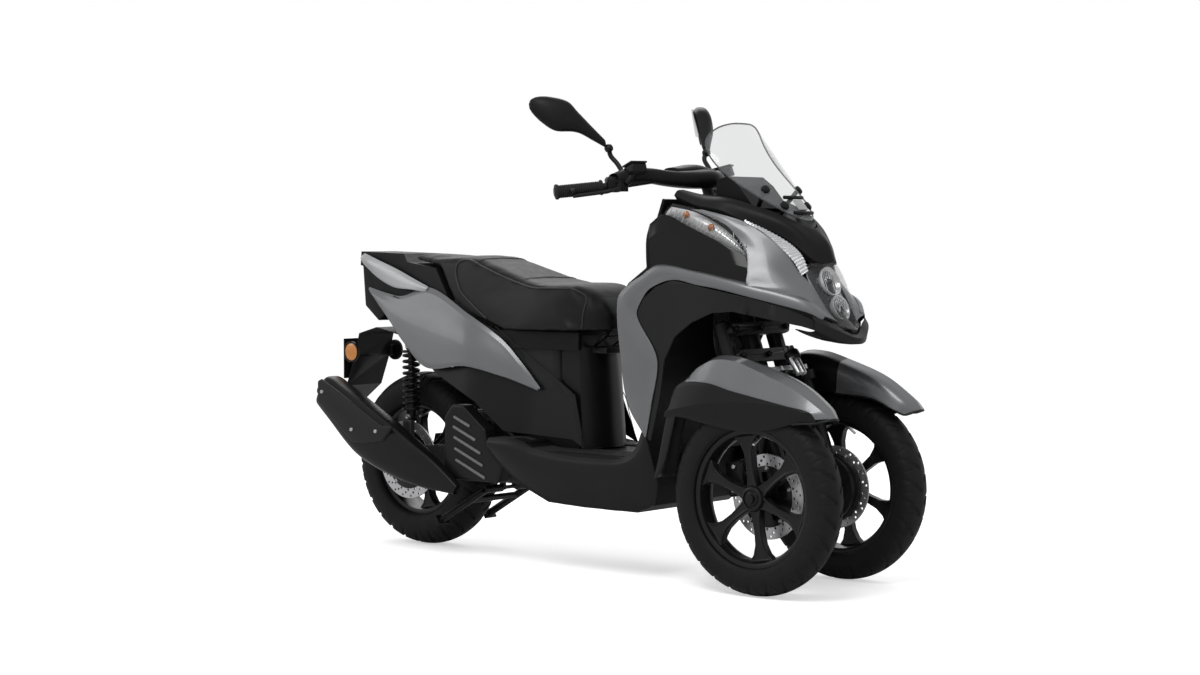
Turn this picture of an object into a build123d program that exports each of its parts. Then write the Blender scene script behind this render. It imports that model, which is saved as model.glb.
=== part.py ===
from build123d import *
from math import cos, radians, sin, tan
import os

# Tilting scooter with two steered front wheels and one driven rear wheel.
# Frame: +X forward, +Y to the rider's left, +Z up. The origin lies on the ground, midway along
# the vehicle. Sizes are in millimetres.

# ---------------------------------------------------------------------------------------------
# Driving dimensions
# ---------------------------------------------------------------------------------------------
WHEELBASE = 1350.0
TRACK = 385.0
FRONT_AXLE_X = 740.0
REAR_AXLE_X = FRONT_AXLE_X - WHEELBASE
# The rear tables are drawn for a rear axle at this x, and move with the axle.
DRAWN_REAR_AXLE_X = -610.0

FRONT_TYRE_D = 500.0
FRONT_TYRE_W = 90.0
FRONT_BEAD_R = 178.0
FRONT_RIM_W = 60.0
REAR_TYRE_D = 512.0
REAR_TYRE_W = 130.0
REAR_BEAD_R = 165.0
REAR_RIM_W = 90.0
RIM_WALL = 12.0
RIM_SEAT_GAP = 0.3
SPOKES = 6
DISC_THICKNESS = 4.0
FRONT_DISC_R = 110.0
REAR_DISC_R = 115.0
HUB_R = 34.0
CARRIER_DEPTH = 9.0

CASTER_DEG = 20.0
TRAIL = 68.0
STEER_TRACK = TRACK - 165.0
FRONT_AXLE_Z = FRONT_TYRE_D / 2
REAR_AXLE_Z = REAR_TYRE_D / 2

PIN_CLEARANCE = 0.1
GAP = 0.8
WALL = 4.0
FAR = 400.0

STEM_R = 15.0
STEER_TUBE_R = 22.0
HEAD_TUBE_R = 25.0
ARM_PIN_R = 6.0
AXLE_R = 12.0
FORK_TUBE_R = 17.0
BAR_R = 11.0
FRAME_TUBE_R = 25.0
RAIL_R = 13.0

FLOOR_HALF_W = 200.0
FLOOR_TOP_Z = 326.0



def save(piece, label):
    """Labels a finished piece and writes its file."""
    piece.part.label = label
    export_step(piece.part, f"parts/{label}.step")


def rear(points):
    """Table of points, x first, moved along with the rear axle."""
    shift = REAR_AXLE_X - DRAWN_REAR_AXLE_X
    return tuple((point[0] + shift, *point[1:]) for point in points)


def rear_x(x):
    """One x position moved along with the rear axle."""
    return x + REAR_AXLE_X - DRAWN_REAR_AXLE_X


os.makedirs("parts", exist_ok=True)

# ---------------------------------------------------------------------------------------------
# Steering axes: three parallel raked axes, for the column and for the two front knuckles
# ---------------------------------------------------------------------------------------------
RAKE = radians(CASTER_DEG)
AXIS_DATUM_Z = 250.0


def axis_plane(y):
    """Plane across a steering axis at the datum height: local x forward, local z up the axis."""
    x = FRONT_AXLE_X + TRAIL - AXIS_DATUM_Z * tan(RAKE)
    forward = (cos(RAKE), 0, sin(RAKE))
    return Plane(origin=(x, y, AXIS_DATUM_Z), x_dir=forward, z_dir=(-sin(RAKE), 0, cos(RAKE)))


KNUCKLE_Y = STEER_TRACK / 2
AXLE_SPOT = axis_plane(0).to_local_coords(Vector(FRONT_AXLE_X, 0, FRONT_AXLE_Z))
AXLE_AHEAD, AXLE_UP = AXLE_SPOT.X, AXLE_SPOT.Z

# Distances up the steering axis, measured from the datum height.
CLAMP_LOW, CLAMP_HIGH = 278.0, 302.0
TIE_LOW, TIE_HIGH = 308.0, 320.0
TUBE_LOW, TUBE_HIGH = 335.0, 462.0
HEAD_HIGH = 560.0
LOWER_ARM_AT, UPPER_ARM_AT = 362.0, 436.0
BAR_AT = 872.0
TIE_AHEAD = 62.0
TIE_PIN_R = 5.0
TIE_EYE_R = 11.0
OPEN_EYE_GAP = 2.0
ARM_BACK, ARM_FRONT = 30.0, 42.0
ARM_H = 34.0


def front_lug(y, at):
    """Plane of the arm pins that stand forward from a steering tube."""
    base = axis_plane(y)
    origin = base.origin + base.z_dir * at
    return Plane(origin=origin, x_dir=(0, 1, 0), z_dir=base.x_dir)


# ---------------------------------------------------------------------------------------------
# Wheels
# ---------------------------------------------------------------------------------------------
def wheel_plane(x, y, z, at=0.0):
    """Plane across a wheel, its normal along +Y, moved at along the axle."""
    return Plane(origin=(x, y + at, z), x_dir=(0, 0, 1), z_dir=(0, 1, 0))


def across(x, y, z):
    """Plane square to the vehicle's width at one place."""
    return Plane(origin=(x, y, z), x_dir=(1, 0, 0), z_dir=(0, 1, 0))


def tyre(x, y, z, tyre_d, tyre_w, bead_r, rim_w):
    """Tyre ring turned about the axle, with rounded side walls and a crowned tread."""
    height = tyre_d / 2 - bead_r
    half = tyre_w / 2
    wall_r = bead_r + 0.42 * height
    shoulder_r = bead_r + 0.80 * height
    shoulder_w = 0.78 * half
    with BuildPart() as ring:
        with BuildSketch(Plane(origin=(x, y, z), x_dir=(0, 1, 0), z_dir=(-1, 0, 0))):
            with BuildLine():
                Line((-rim_w / 2, bead_r), (rim_w / 2, bead_r))
                ThreePointArc((rim_w / 2, bead_r), (0.99 * half, wall_r), (shoulder_w, shoulder_r))
                ThreePointArc((shoulder_w, shoulder_r), (0, tyre_d / 2), (-shoulder_w, shoulder_r))
                ThreePointArc((-shoulder_w, shoulder_r), (-0.99 * half, wall_r), (-rim_w / 2, bead_r))
            make_face()
        revolve(axis=Axis((x, y, z), (0, 1, 0)))
    return ring


def rim(x, y, z, bead_r, rim_w, hub_span, disc_at, disc_r, spoke_at):
    """Cast rim with a barrel, spokes and a hub, and the brake disc bolted to the hub."""
    outer = bead_r - RIM_SEAT_GAP
    hub_low, hub_high = hub_span
    spoke_depth = 22.0
    hub_carrier_r = 46.0
    disc_inner_r = 62.0
    toward_hub = 1 if disc_at < 0 else -1
    disc_low = disc_at - DISC_THICKNESS / 2
    carrier_low, carrier_high = sorted((disc_low + DISC_THICKNESS / 2, disc_at + toward_hub * CARRIER_DEPTH))
    with BuildPart() as wheel:
        with BuildSketch(wheel_plane(x, y, z, -rim_w / 2)):
            Circle(outer)
            Circle(outer - RIM_WALL, mode=Mode.SUBTRACT)
        extrude(amount=rim_w)
        with BuildSketch(wheel_plane(x, y, z, hub_low)):
            Circle(HUB_R)
        extrude(amount=hub_high - hub_low)
        with BuildSketch(wheel_plane(x, y, z, spoke_at - spoke_depth / 2)):
            with PolarLocations(0, SPOKES, start_angle=10):
                Polygon((20, -15), (outer - 6, -24), (outer - 6, 24), (20, 15), align=None)
        extrude(amount=spoke_depth)
        with BuildSketch(wheel_plane(x, y, z, disc_low)):
            Circle(disc_r)
            with PolarLocations((disc_inner_r + hub_carrier_r) / 2, SPOKES):
                Circle(6, mode=Mode.SUBTRACT)
        extrude(amount=DISC_THICKNESS)
        with BuildSketch(wheel_plane(x, y, z, carrier_low)):
            Circle(hub_carrier_r)
        extrude(amount=carrier_high - carrier_low)
        with BuildSketch(wheel_plane(x, y, z, -FAR / 2)):
            Circle(AXLE_R + PIN_CLEARANCE)
        extrude(amount=FAR, mode=Mode.SUBTRACT)
    return wheel


SIDES = (("left", 1), ("right", -1))
FRONT_HUB_OUT = 30.0
FRONT_DISC_IN = 42.5
for side, sign in SIDES:
    place = (FRONT_AXLE_X, sign * TRACK / 2, FRONT_AXLE_Z)
    save(tyre(*place, FRONT_TYRE_D, FRONT_TYRE_W, FRONT_BEAD_R, FRONT_RIM_W - 4), f"front_{side}_tyre")
    hub = (-FRONT_DISC_IN + 4, FRONT_HUB_OUT) if sign > 0 else (-FRONT_HUB_OUT, FRONT_DISC_IN - 4)
    disc_at = -sign * FRONT_DISC_IN
    save(rim(*place, FRONT_BEAD_R, FRONT_RIM_W, hub, disc_at, FRONT_DISC_R, sign * 8), f"front_{side}_rim")

REAR_PLACE = (REAR_AXLE_X, 0, REAR_AXLE_Z)
CASE_IN = REAR_TYRE_W / 2 + 7.0
REAR_DISC_AT = -(REAR_TYRE_W / 2 + 23.0)
REAR_HUB = (REAR_DISC_AT + 6.0, CASE_IN - 10.0)
save(tyre(*REAR_PLACE, REAR_TYRE_D, REAR_TYRE_W, REAR_BEAD_R, REAR_RIM_W - 4), "rear_tyre")
save(rim(*REAR_PLACE, REAR_BEAD_R, REAR_RIM_W, REAR_HUB, REAR_DISC_AT, REAR_DISC_R, 0), "rear_rim")

# ---------------------------------------------------------------------------------------------
# Front knuckles: steering stem, clamp, twin fork tubes, axle, brake housing
# ---------------------------------------------------------------------------------------------
FORK_SPREAD = 72.0
CLAMP_HALF_W = 25.0
HOUSING_R = 90.0
HOUSING_DEPTH = 44.0
HOUSING_GAP = 8.0
CALIPER_SLOT = 14.0


def knuckle(sign):
    """Steered fork: a stem, a clamp plate, two tubes, the axle and the disc housing."""
    base = axis_plane(sign * KNUCKLE_Y)
    disc_y = sign * (TRACK / 2 - FRONT_DISC_IN)
    housing_out = sign * (TRACK / 2 - FRONT_DISC_IN - HOUSING_GAP)
    clamp_mid = AXLE_AHEAD
    with BuildPart() as fork:
        with BuildSketch(base.offset(CLAMP_LOW)):
            Circle(STEM_R)
        extrude(amount=TUBE_HIGH + 6 - CLAMP_LOW)
        with BuildSketch(base.offset(CLAMP_LOW)):
            with Locations((clamp_mid + 4, 0)):
                SlotOverall(FORK_SPREAD + 2 * CLAMP_HALF_W, 2 * CLAMP_HALF_W)
        extrude(amount=CLAMP_HIGH - CLAMP_LOW)
        with BuildSketch(base.offset(CLAMP_HIGH - 2)):
            with Locations((TIE_AHEAD, 0)):
                Circle(TIE_PIN_R)
        extrude(amount=TIE_HIGH + 4 - CLAMP_HIGH + 2)
        with BuildSketch(base.offset(AXLE_UP)):
            with Locations((clamp_mid - FORK_SPREAD / 2, 0), (clamp_mid + FORK_SPREAD / 2, 0)):
                Circle(FORK_TUBE_R)
        extrude(amount=CLAMP_HIGH - AXLE_UP)
        with BuildSketch(wheel_plane(FRONT_AXLE_X, housing_out, FRONT_AXLE_Z)):
            Circle(HOUSING_R)
        extrude(amount=-sign * HOUSING_DEPTH)
        with BuildSketch(wheel_plane(FRONT_AXLE_X, housing_out - sign * 2, FRONT_AXLE_Z)):
            Circle(AXLE_R)
        extrude(amount=sign * (FRONT_DISC_IN + HOUSING_GAP + FRONT_HUB_OUT + 10))
        with Locations((FRONT_AXLE_X - 92, disc_y, FRONT_AXLE_Z + 42)):
            Box(52, 36, 84)
        with BuildSketch(wheel_plane(FRONT_AXLE_X, disc_y - CALIPER_SLOT / 2, FRONT_AXLE_Z)):
            Circle(FRONT_DISC_R + 6)
            Circle(AXLE_R, mode=Mode.SUBTRACT)
        extrude(amount=CALIPER_SLOT, mode=Mode.SUBTRACT)
        with Locations((FRONT_AXLE_X - 70, sign * (KNUCKLE_Y + FENDER_STAY_Y) / 2, 440)):
            Box(50, FENDER_STAY_Y - KNUCKLE_Y, 24)
    return fork


FENDER_SIDE_GAP = 10.5
FENDER_INNER_Y = TRACK / 2 - FRONT_TYRE_W / 2 - FENDER_SIDE_GAP
FENDER_OUTER_Y = TRACK / 2 + FRONT_TYRE_W / 2 + FENDER_SIDE_GAP
FENDER_STAY_Y = FENDER_INNER_Y
for side, sign in SIDES:
    save(knuckle(sign), f"{side}_fork")

# Side outline of a front fender as (x, z): the top from its front tip back, then the flap, then
# the lower edge of the skirt.
FENDER_TOP = (
    (981, 466), (958, 494), (873, 549), (752, 588), (679, 609), (608, 606), (530, 552), (482, 458),
    (440, 290),
)
FENDER_LOW = ((462, 285), (520, 448), (590, 436), (719, 424), (822, 450), (940, 462))
FENDER_WALL = 4.0
# Round notch at the inner edge, where the fender turns past the ends of the linkage arms.
FENDER_NOTCH_R, FENDER_NOTCH_LOW = 54.0, 338.0


def fender(sign):
    """Open-bottomed shell over the front tyre."""
    inner, outer = sorted((sign * FENDER_INNER_Y, sign * FENDER_OUTER_Y))
    with BuildPart() as shell:
        with BuildSketch(Plane.XZ.offset(-outer)):
            with BuildLine():
                Polyline(*FENDER_TOP, *FENDER_LOW, close=True)
            make_face()
        extrude(amount=outer - inner)
        with BuildSketch(Plane.XZ.offset(-outer + FENDER_WALL)):
            with BuildLine():
                Polyline(*FENDER_TOP, (440, 180), (981, 180), close=True)
            make_face()
            offset(amount=-FENDER_WALL, kind=Kind.INTERSECTION)
        extrude(amount=outer - inner - 2 * FENDER_WALL, mode=Mode.SUBTRACT)
        with BuildSketch(axis_plane(sign * KNUCKLE_Y).offset(FENDER_NOTCH_LOW)):
            Circle(FENDER_NOTCH_R)
        extrude(amount=FAR, mode=Mode.SUBTRACT)
    return shell


for side, sign in SIDES:
    save(fender(sign), f"{side}_fender")

# ---------------------------------------------------------------------------------------------
# Lean linkage: two cross arms pinned to the head tube and to the two side tubes
# ---------------------------------------------------------------------------------------------
for label, at in (("upper_arm", UPPER_ARM_AT), ("lower_arm", LOWER_ARM_AT)):
    with BuildPart() as arm:
        with BuildSketch(front_lug(0, at).offset(ARM_BACK)):
            SlotCenterToCenter(STEER_TRACK, ARM_H)
            with Locations((-KNUCKLE_Y, 0), (0, 0), (KNUCKLE_Y, 0)):
                Circle(ARM_PIN_R + PIN_CLEARANCE, mode=Mode.SUBTRACT)
        extrude(amount=ARM_FRONT - ARM_BACK)
    save(arm, label)

for side, sign in SIDES:
    steer_axis = axis_plane(sign * KNUCKLE_Y)
    with BuildPart() as side_tube:
        with BuildSketch(steer_axis.offset(TUBE_LOW)):
            Circle(STEER_TUBE_R)
        extrude(amount=TUBE_HIGH - TUBE_LOW)
        for at in (LOWER_ARM_AT, UPPER_ARM_AT):
            with BuildSketch(front_lug(sign * KNUCKLE_Y, at)):
                Circle(ARM_PIN_R)
            extrude(amount=ARM_FRONT + 6)
            with BuildSketch(front_lug(sign * KNUCKLE_Y, at)):
                Circle(ARM_PIN_R + 5)
            extrude(amount=ARM_BACK - 1)
        with BuildSketch(steer_axis.offset(TUBE_LOW - 1)):
            Circle(STEM_R + PIN_CLEARANCE)
        extrude(amount=TUBE_HIGH - TUBE_LOW + 2, mode=Mode.SUBTRACT)
    save(side_tube, f"{side}_link_tube")

# Side stand pivot: the leg swings from folded back to down and out.
SIDE_PIVOT = Vector(rear_x(-70), 172, 194)
SIDE_FOLDED = Vector(-1, 0, -0.10).normalized()
SIDE_OUT = Vector(0.30, 0.50, -0.81).normalized()
SIDE_AXIS = SIDE_FOLDED.cross(SIDE_OUT).normalized()
SIDE_LEG = 236.0
SIDE_PIN_R = 6.0
SIDE_STAY_R = 6.0

# ---------------------------------------------------------------------------------------------
# Main frame: head tube, spine, cross tube, seat rails
# ---------------------------------------------------------------------------------------------
SPINE_Z = 255.0
CROSS_X = rear_x(-100.0)
CROSS_Z = 272.0
RAIL_Y = 121.0
SPINE = ((572, 0, 612), (430, 0, 345), (380, 0, SPINE_Z), (CROSS_X, 0, SPINE_Z))
RAIL = rear(((-100, RAIL_Y, CROSS_Z), (-330, RAIL_Y + 1, 530), (-480, 100, 645), (-745, 66, 712)))
RAIL_CROSS_X = rear_x(-585.0)
RAIL_CROSS_Z = 668.0
SHOCK_Y = REAR_TYRE_W / 2 + 31.0
SHOCK_TOP = (rear_x(-590.0), SHOCK_Y, 606.0)
with BuildPart() as main_frame:
    head = axis_plane(0)
    with BuildSketch(head.offset(TUBE_LOW)):
        Circle(HEAD_TUBE_R)
    extrude(amount=HEAD_HIGH - TUBE_LOW)
    for at in (LOWER_ARM_AT, UPPER_ARM_AT):
        with BuildSketch(front_lug(0, at)):
            Circle(ARM_PIN_R)
        extrude(amount=ARM_FRONT + 6)
    with BuildLine() as spine_line:
        FilletPolyline(*SPINE, radius=60)
    with BuildSketch(Plane(origin=spine_line.wire() @ 0, z_dir=spine_line.wire() % 0)):
        Circle(FRAME_TUBE_R)
    sweep(path=spine_line.wire())
    with BuildSketch(across(CROSS_X, -RAIL_Y - 8, CROSS_Z)):
        Circle(18)
    extrude(amount=2 * RAIL_Y + 16)
    for side, sign in SIDES:
        with BuildLine() as rail_line:
            FilletPolyline(*[(x, sign * y, z) for x, y, z in RAIL], radius=90)
        with BuildSketch(Plane(origin=rail_line.wire() @ 0, z_dir=rail_line.wire() % 0)):
            Circle(RAIL_R)
        sweep(path=rail_line.wire())
    with Locations((RAIL_CROSS_X, 0, RAIL_CROSS_Z)):
        Box(24, 2 * SHOCK_Y - 8, 16)
    for side, sign in SIDES:
        with Locations((SHOCK_TOP[0], sign * (SHOCK_Y - 4), (SHOCK_TOP[2] + GAP + RAIL_CROSS_Z) / 2)):
            Box(24, 24, RAIL_CROSS_Z - SHOCK_TOP[2] - GAP)
    with BuildLine() as stay_line:
        Line((CROSS_X, 110, CROSS_Z), SIDE_PIVOT + SIDE_AXIS * 14)
    with BuildSketch(Plane(origin=stay_line.line @ 0, z_dir=stay_line.line % 0)):
        Circle(SIDE_STAY_R)
    sweep(path=stay_line.line)
    with BuildSketch(Plane(origin=SIDE_PIVOT + SIDE_AXIS * 7, x_dir=SIDE_FOLDED, z_dir=SIDE_AXIS)):
        Circle(16)
    extrude(amount=14)
    with BuildSketch(Plane(origin=SIDE_PIVOT - SIDE_AXIS * 9, x_dir=SIDE_FOLDED, z_dir=SIDE_AXIS)):
        Circle(SIDE_PIN_R)
    extrude(amount=20)
    with BuildSketch(head.offset(TUBE_LOW - 1)):
        Circle(STEM_R + PIN_CLEARANCE)
    extrude(amount=HEAD_HIGH - TUBE_LOW + 2, mode=Mode.SUBTRACT)
save(main_frame, "main_frame")

# ---------------------------------------------------------------------------------------------
# Engine unit: a plain block with the drive case on the left and the arm on the right
# ---------------------------------------------------------------------------------------------
ENGINE_LOW, ENGINE_HIGH = 215.0, 418.0
ENGINE_FRONT, ENGINE_BACK = rear_x(-128.0), rear_x(-336.0)
ENGINE_RIGHT = -100.0
BOSS_MID = (rear_x(-308.0), 312.0)
BOSS_L, BOSS_H = 92.0, 150.0
RADIATOR_IN, RADIATOR_OUT = -137.0, -186.0
STAND_PIVOT = (rear_x(-290.0), 0.0, 190.0)
STAND_PIN_R = 6.0
STAND_LUG_Y = 26.0
STAND_Y = 100.0
SHOCK_FOOT = (SHOCK_TOP[0], SHOCK_Y, 376.0)
CASE_OUT = CASE_IN + 60.0
ARM_IN = REAR_DISC_AT - 14.0
ARM_OUT = ARM_IN - 18.0
# Side outlines of the drive case and of the right arm as (x, z).
CASE_SIDE = rear((
    (-228, 225), (-228, 364), (-420, 360), (-560, 330), (-660, 320), (-680, 256), (-650, 200),
    (-560, 190), (-300, 222),
))
ARM_SIDE = rear(((-306, 250), (-306, 330), (-560, 300), (-640, 296), (-648, 230), (-590, 216)))
engine_middle = (
    (ENGINE_FRONT + ENGINE_BACK) / 2,
    (CASE_IN + ENGINE_RIGHT) / 2,
    (ENGINE_LOW + ENGINE_HIGH) / 2,
)
with BuildPart() as engine_unit:
    with Locations(engine_middle):
        Box(ENGINE_FRONT - ENGINE_BACK, CASE_IN - ENGINE_RIGHT, ENGINE_HIGH - ENGINE_LOW)
    with Locations((BOSS_MID[0], (ENGINE_RIGHT + RADIATOR_IN + GAP) / 2, BOSS_MID[1])):
        Box(BOSS_L, ENGINE_RIGHT - RADIATOR_IN - GAP, BOSS_H)
    with BuildSketch(Plane.XZ.offset(-CASE_OUT)):
        with BuildLine():
            Polyline(*CASE_SIDE, close=True)
        make_face()
    extrude(amount=CASE_OUT - CASE_IN)
    with BuildSketch(Plane.XZ.offset(-ARM_IN)):
        with BuildLine():
            Polyline(*ARM_SIDE, close=True)
        make_face()
    extrude(amount=ARM_IN - ARM_OUT)
    with BuildSketch(across(REAR_AXLE_X, ARM_OUT, REAR_AXLE_Z)):
        Circle(AXLE_R)
    extrude(amount=CASE_OUT - ARM_OUT)
    for y, bottom in ((SHOCK_Y - 2, 300.0), (-SHOCK_Y - 12, 280.0)):
        with Locations((SHOCK_FOOT[0], y, (bottom + SHOCK_FOOT[2]) / 2)):
            Box(36, 22, SHOCK_FOOT[2] - bottom)
    for y in (-STAND_LUG_Y, STAND_LUG_Y):
        with Locations((STAND_PIVOT[0], y, (STAND_PIVOT[2] + ENGINE_LOW) / 2)):
            Box(26, 8, ENGINE_LOW - STAND_PIVOT[2] + 14)
    with BuildSketch(across(STAND_PIVOT[0], -STAND_Y, STAND_PIVOT[2])):
        Circle(STAND_PIN_R)
    extrude(amount=2 * STAND_Y)
save(engine_unit, "engine_unit")

# Rear shock absorbers: damper body, rod and a sleeve that stands for the coil spring.
SHOCK_SPRING_R = 25.0
for side, sign in SIDES:
    foot_y = sign * SHOCK_FOOT[1]
    with BuildPart() as shock:
        with BuildSketch(Plane.XY.offset(SHOCK_FOOT[2] + GAP)):
            with Locations((SHOCK_FOOT[0], foot_y)):
                Circle(13)
        extrude(amount=SHOCK_TOP[2] - SHOCK_FOOT[2] - GAP)
        with BuildSketch(Plane.XY.offset(SHOCK_FOOT[2] + 40)):
            with Locations((SHOCK_FOOT[0], foot_y)):
                Circle(SHOCK_SPRING_R)
        extrude(amount=SHOCK_TOP[2] - SHOCK_FOOT[2] - 70)
    save(shock, f"{side}_rear_shock")

# ---------------------------------------------------------------------------------------------
# Exhaust and engine covers on the right
# ---------------------------------------------------------------------------------------------
MUFFLER_OUT, MUFFLER_IN = -238.0, -162.0
MUFFLER = rear((
    (-850, 496), (-826, 506), (-760, 477), (-563, 376), (-490, 383), (-405, 280), (-300, 182),
    (-400, 182), (-678, 262),
    (-848, 408),
))
PIPE = rear(((-330, -190, 196), (-255, -190, 192), (-180, -150, 192), (-150, -60, 192)))
with BuildPart() as muffler:
    with BuildSketch(Plane.XZ.offset(-MUFFLER_IN)):
        with BuildLine():
            Polyline(*MUFFLER, close=True)
        make_face()
    extrude(amount=MUFFLER_IN - MUFFLER_OUT)
    with BuildLine() as pipe_line:
        FilletPolyline(*PIPE, radius=24)
    with BuildSketch(Plane(origin=pipe_line.wire() @ 0, z_dir=pipe_line.wire() % 0)):
        Circle(14)
    sweep(path=pipe_line.wire())
save(muffler, "muffler")

RADIATOR = rear((
    (-370, 400), (-340, 436), (-300, 436), (-214, 372), (-202, 326), (-144, 272), (-161, 224),
    (-345, 224), (-370, 250),
))
with BuildPart() as radiator_cover:
    with BuildSketch(Plane.XZ.offset(-RADIATOR_IN)):
        with BuildLine():
            Polyline(*RADIATOR, close=True)
        make_face()
    extrude(amount=RADIATOR_IN - RADIATOR_OUT)
save(radiator_cover, "radiator_cover")

# ---------------------------------------------------------------------------------------------
# Rear mudguard with the number plate bracket
# ---------------------------------------------------------------------------------------------
MUDGUARD = rear((
    (-990, 392), (-888, 466), (-852, 556), (-834, 622), (-760, 642), (-660, 624), (-520, 600),
    (-400, 545), (-350, 480),
))
MUDGUARD_WALL = 4.0
MUDGUARD_HALF_W = REAR_TYRE_W / 2 + 7.0
PLATE_X = rear_x(-893.0)
PLATE_LOW, PLATE_HIGH = 484.0, 604.0
PLATE_HALF_W = 80.0
PLATE_HOLE_R = 3.2
PLATE_HOLE_SPACING = 110.0
PLATE_HOLE_Z = 580.0
with BuildPart() as rear_mudguard:
    with BuildSketch(Plane.XZ.offset(-MUDGUARD_HALF_W)):
        with BuildLine():
            inner = [(x + 2.0, z - MUDGUARD_WALL) for x, z in reversed(MUDGUARD)]
            Polyline(*MUDGUARD, *inner, close=True)
        make_face()
    extrude(amount=2 * MUDGUARD_HALF_W)
    with Locations((PLATE_X + 2, 0, (PLATE_LOW + PLATE_HIGH) / 2)):
        Box(4, 2 * PLATE_HALF_W, PLATE_HIGH - PLATE_LOW)
    with Locations((PLATE_X + 23, 0, 556)):
        Box(44, 60, 12)
    with BuildSketch(Plane(origin=(PLATE_X - 1, 0, PLATE_HOLE_Z), x_dir=(0, 1, 0), z_dir=(1, 0, 0))):
        with GridLocations(PLATE_HOLE_SPACING, 1, 2, 1):
            Circle(PLATE_HOLE_R)
    extrude(amount=8, mode=Mode.SUBTRACT)
save(rear_mudguard, "rear_mudguard")

# ---------------------------------------------------------------------------------------------
# Rear body: one tapered hull, cut into its panels
# ---------------------------------------------------------------------------------------------
# Half widths of the hull at its low and high level, as (x, low, high).
REAR_HULL = rear(((-822, 120, 72), (-500, 180, 88), (-100, 203, 100), (166, 203, 80)))
REAR_HULL_LOW, REAR_HULL_HIGH = 300.0, 870.0
# Top line of the hull as (x, z).
REAR_TOP = rear((
    (-822, 868), (-632, 862), (-615, 838), (-488, 820), (-407, 716), (-327, 686), (-187, 640), (166, 620),
))


def tapered_hull(table, low, high, inset):
    """Solid between two plan outlines with straight sides, drawn in by inset all round."""
    with BuildPart() as hull:
        for level, column in ((low, 1), (high, 2)):
            half = [(row[0], row[column]) for row in table]
            with BuildSketch(Plane.XY.offset(level)):
                with BuildLine():
                    Polyline(*half, *[(x, -y) for x, y in reversed(half)], close=True)
                make_face()
                if inset:
                    offset(amount=-inset, kind=Kind.INTERSECTION)
        loft(ruled=True)
    return hull


def under_line(top_line, bottom, inset):
    """Slab across the vehicle under a side view line, drawn in by inset."""
    with BuildPart() as slab:
        with BuildSketch(Plane.XZ.offset(-FAR)):
            with BuildLine():
                Polyline(*top_line, (top_line[-1][0], bottom), (top_line[0][0], bottom), close=True)
            make_face()
            if inset:
                offset(amount=-inset, kind=Kind.INTERSECTION)
        extrude(amount=2 * FAR)
    return slab


def rear_hull(inset):
    """Rear body hull under its top line."""
    with BuildPart() as hull:
        add(tapered_hull(REAR_HULL, REAR_HULL_LOW, REAR_HULL_HIGH, inset).part)
        add(under_line(REAR_TOP, REAR_HULL_LOW - 20, inset).part, mode=Mode.INTERSECT)
    return hull


with BuildPart() as rear_shell:
    add(rear_hull(0).part)
    add(rear_hull(WALL).part, mode=Mode.SUBTRACT)


def panel(shell, outline, sign=0, inner=1.0):
    """Part of a shell inside a side outline, on both sides, or on one side beyond inner."""
    start, depth = {1: (-FAR, FAR - inner), -1: (inner, FAR - inner), 0: (-FAR, 2 * FAR)}[sign]
    with BuildPart() as piece:
        with BuildSketch(Plane.XZ.offset(start)):
            with BuildLine():
                Polyline(*outline, close=True)
            make_face()
            offset(amount=-GAP / 2, kind=Kind.INTERSECTION)
        extrude(amount=depth)
        add(shell.part, mode=Mode.INTERSECT)
    return piece


TAIL_PANEL = rear((
    (-751, 759), (-664, 689), (-576, 613), (-461, 535), (-304, 545), (-151, 518), (-10, 489),
    (-187, 624), (-335, 693),
    (-496, 762), (-605, 736), (-680, 738),
))
SIDE_PANEL = rear((
    (-330, 692), (-204, 660), (-120, 610), (104, 476), (164, 330), (116, 353), (-96, 362), (-143, 366),
    (-271, 447),
    (-444, 521), (-461, 535), (-304, 545), (-151, 518), (-10, 489), (-187, 624),
))
SIDE_PANEL_INNER = 121.0
TAIL_COVER = rear((
    (-830, 880), (-830, 828), (-790, 820), (-751, 759), (-680, 738), (-605, 736), (-496, 762),
    (-335, 693), (-330, 700),
    (-407, 760), (-488, 840), (-600, 880),
))
for side, sign in SIDES:
    save(panel(rear_shell, TAIL_PANEL, sign), f"{side}_tail_panel")
    save(panel(rear_shell, SIDE_PANEL, sign, SIDE_PANEL_INNER), f"{side}_side_panel")
save(panel(rear_shell, TAIL_COVER), "tail_cover")

TAIL_LIGHT = rear(((-822, 826), (-808, 700), (-745, 658), (-664, 690), (-750, 757), (-792, 818)))
TAIL_LIGHT_FRONT = rear_x(-760.0)
with BuildPart() as tail_light:
    with BuildSketch(Plane.XZ.offset(-FAR)):
        with BuildLine():
            Polyline(*TAIL_LIGHT, close=True)
        make_face()
        offset(amount=-GAP / 2, kind=Kind.INTERSECTION)
    extrude(amount=2 * FAR)
    add(rear_hull(0).part, mode=Mode.INTERSECT)
    with Locations((TAIL_LIGHT_FRONT + FAR / 2, 0, REAR_HULL_HIGH)):
        Box(FAR, 2 * FAR, 2 * FAR, mode=Mode.SUBTRACT)
save(tail_light, "tail_light")

# Grab rail: a bar round the tail, carried on the sides of the hull.
RAIL_PATH = rear(((-496, 121, 766), (-640, 110, 800), (-800, 96, 850), (-833, 60, 852)))
GRAB_R = 10.0
with BuildPart() as grab_rail:
    with BuildLine() as grab_line:
        FilletPolyline(*RAIL_PATH, *[(x, -y, z) for x, y, z in reversed(RAIL_PATH)], radius=24)
    with BuildSketch(Plane(origin=grab_line.wire() @ 0, z_dir=grab_line.wire() % 0)):
        Circle(GRAB_R)
    sweep(path=grab_line.wire())
    add(rear_hull(-0.4).part, mode=Mode.SUBTRACT)
save(grab_rail, "grab_rail")

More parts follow.
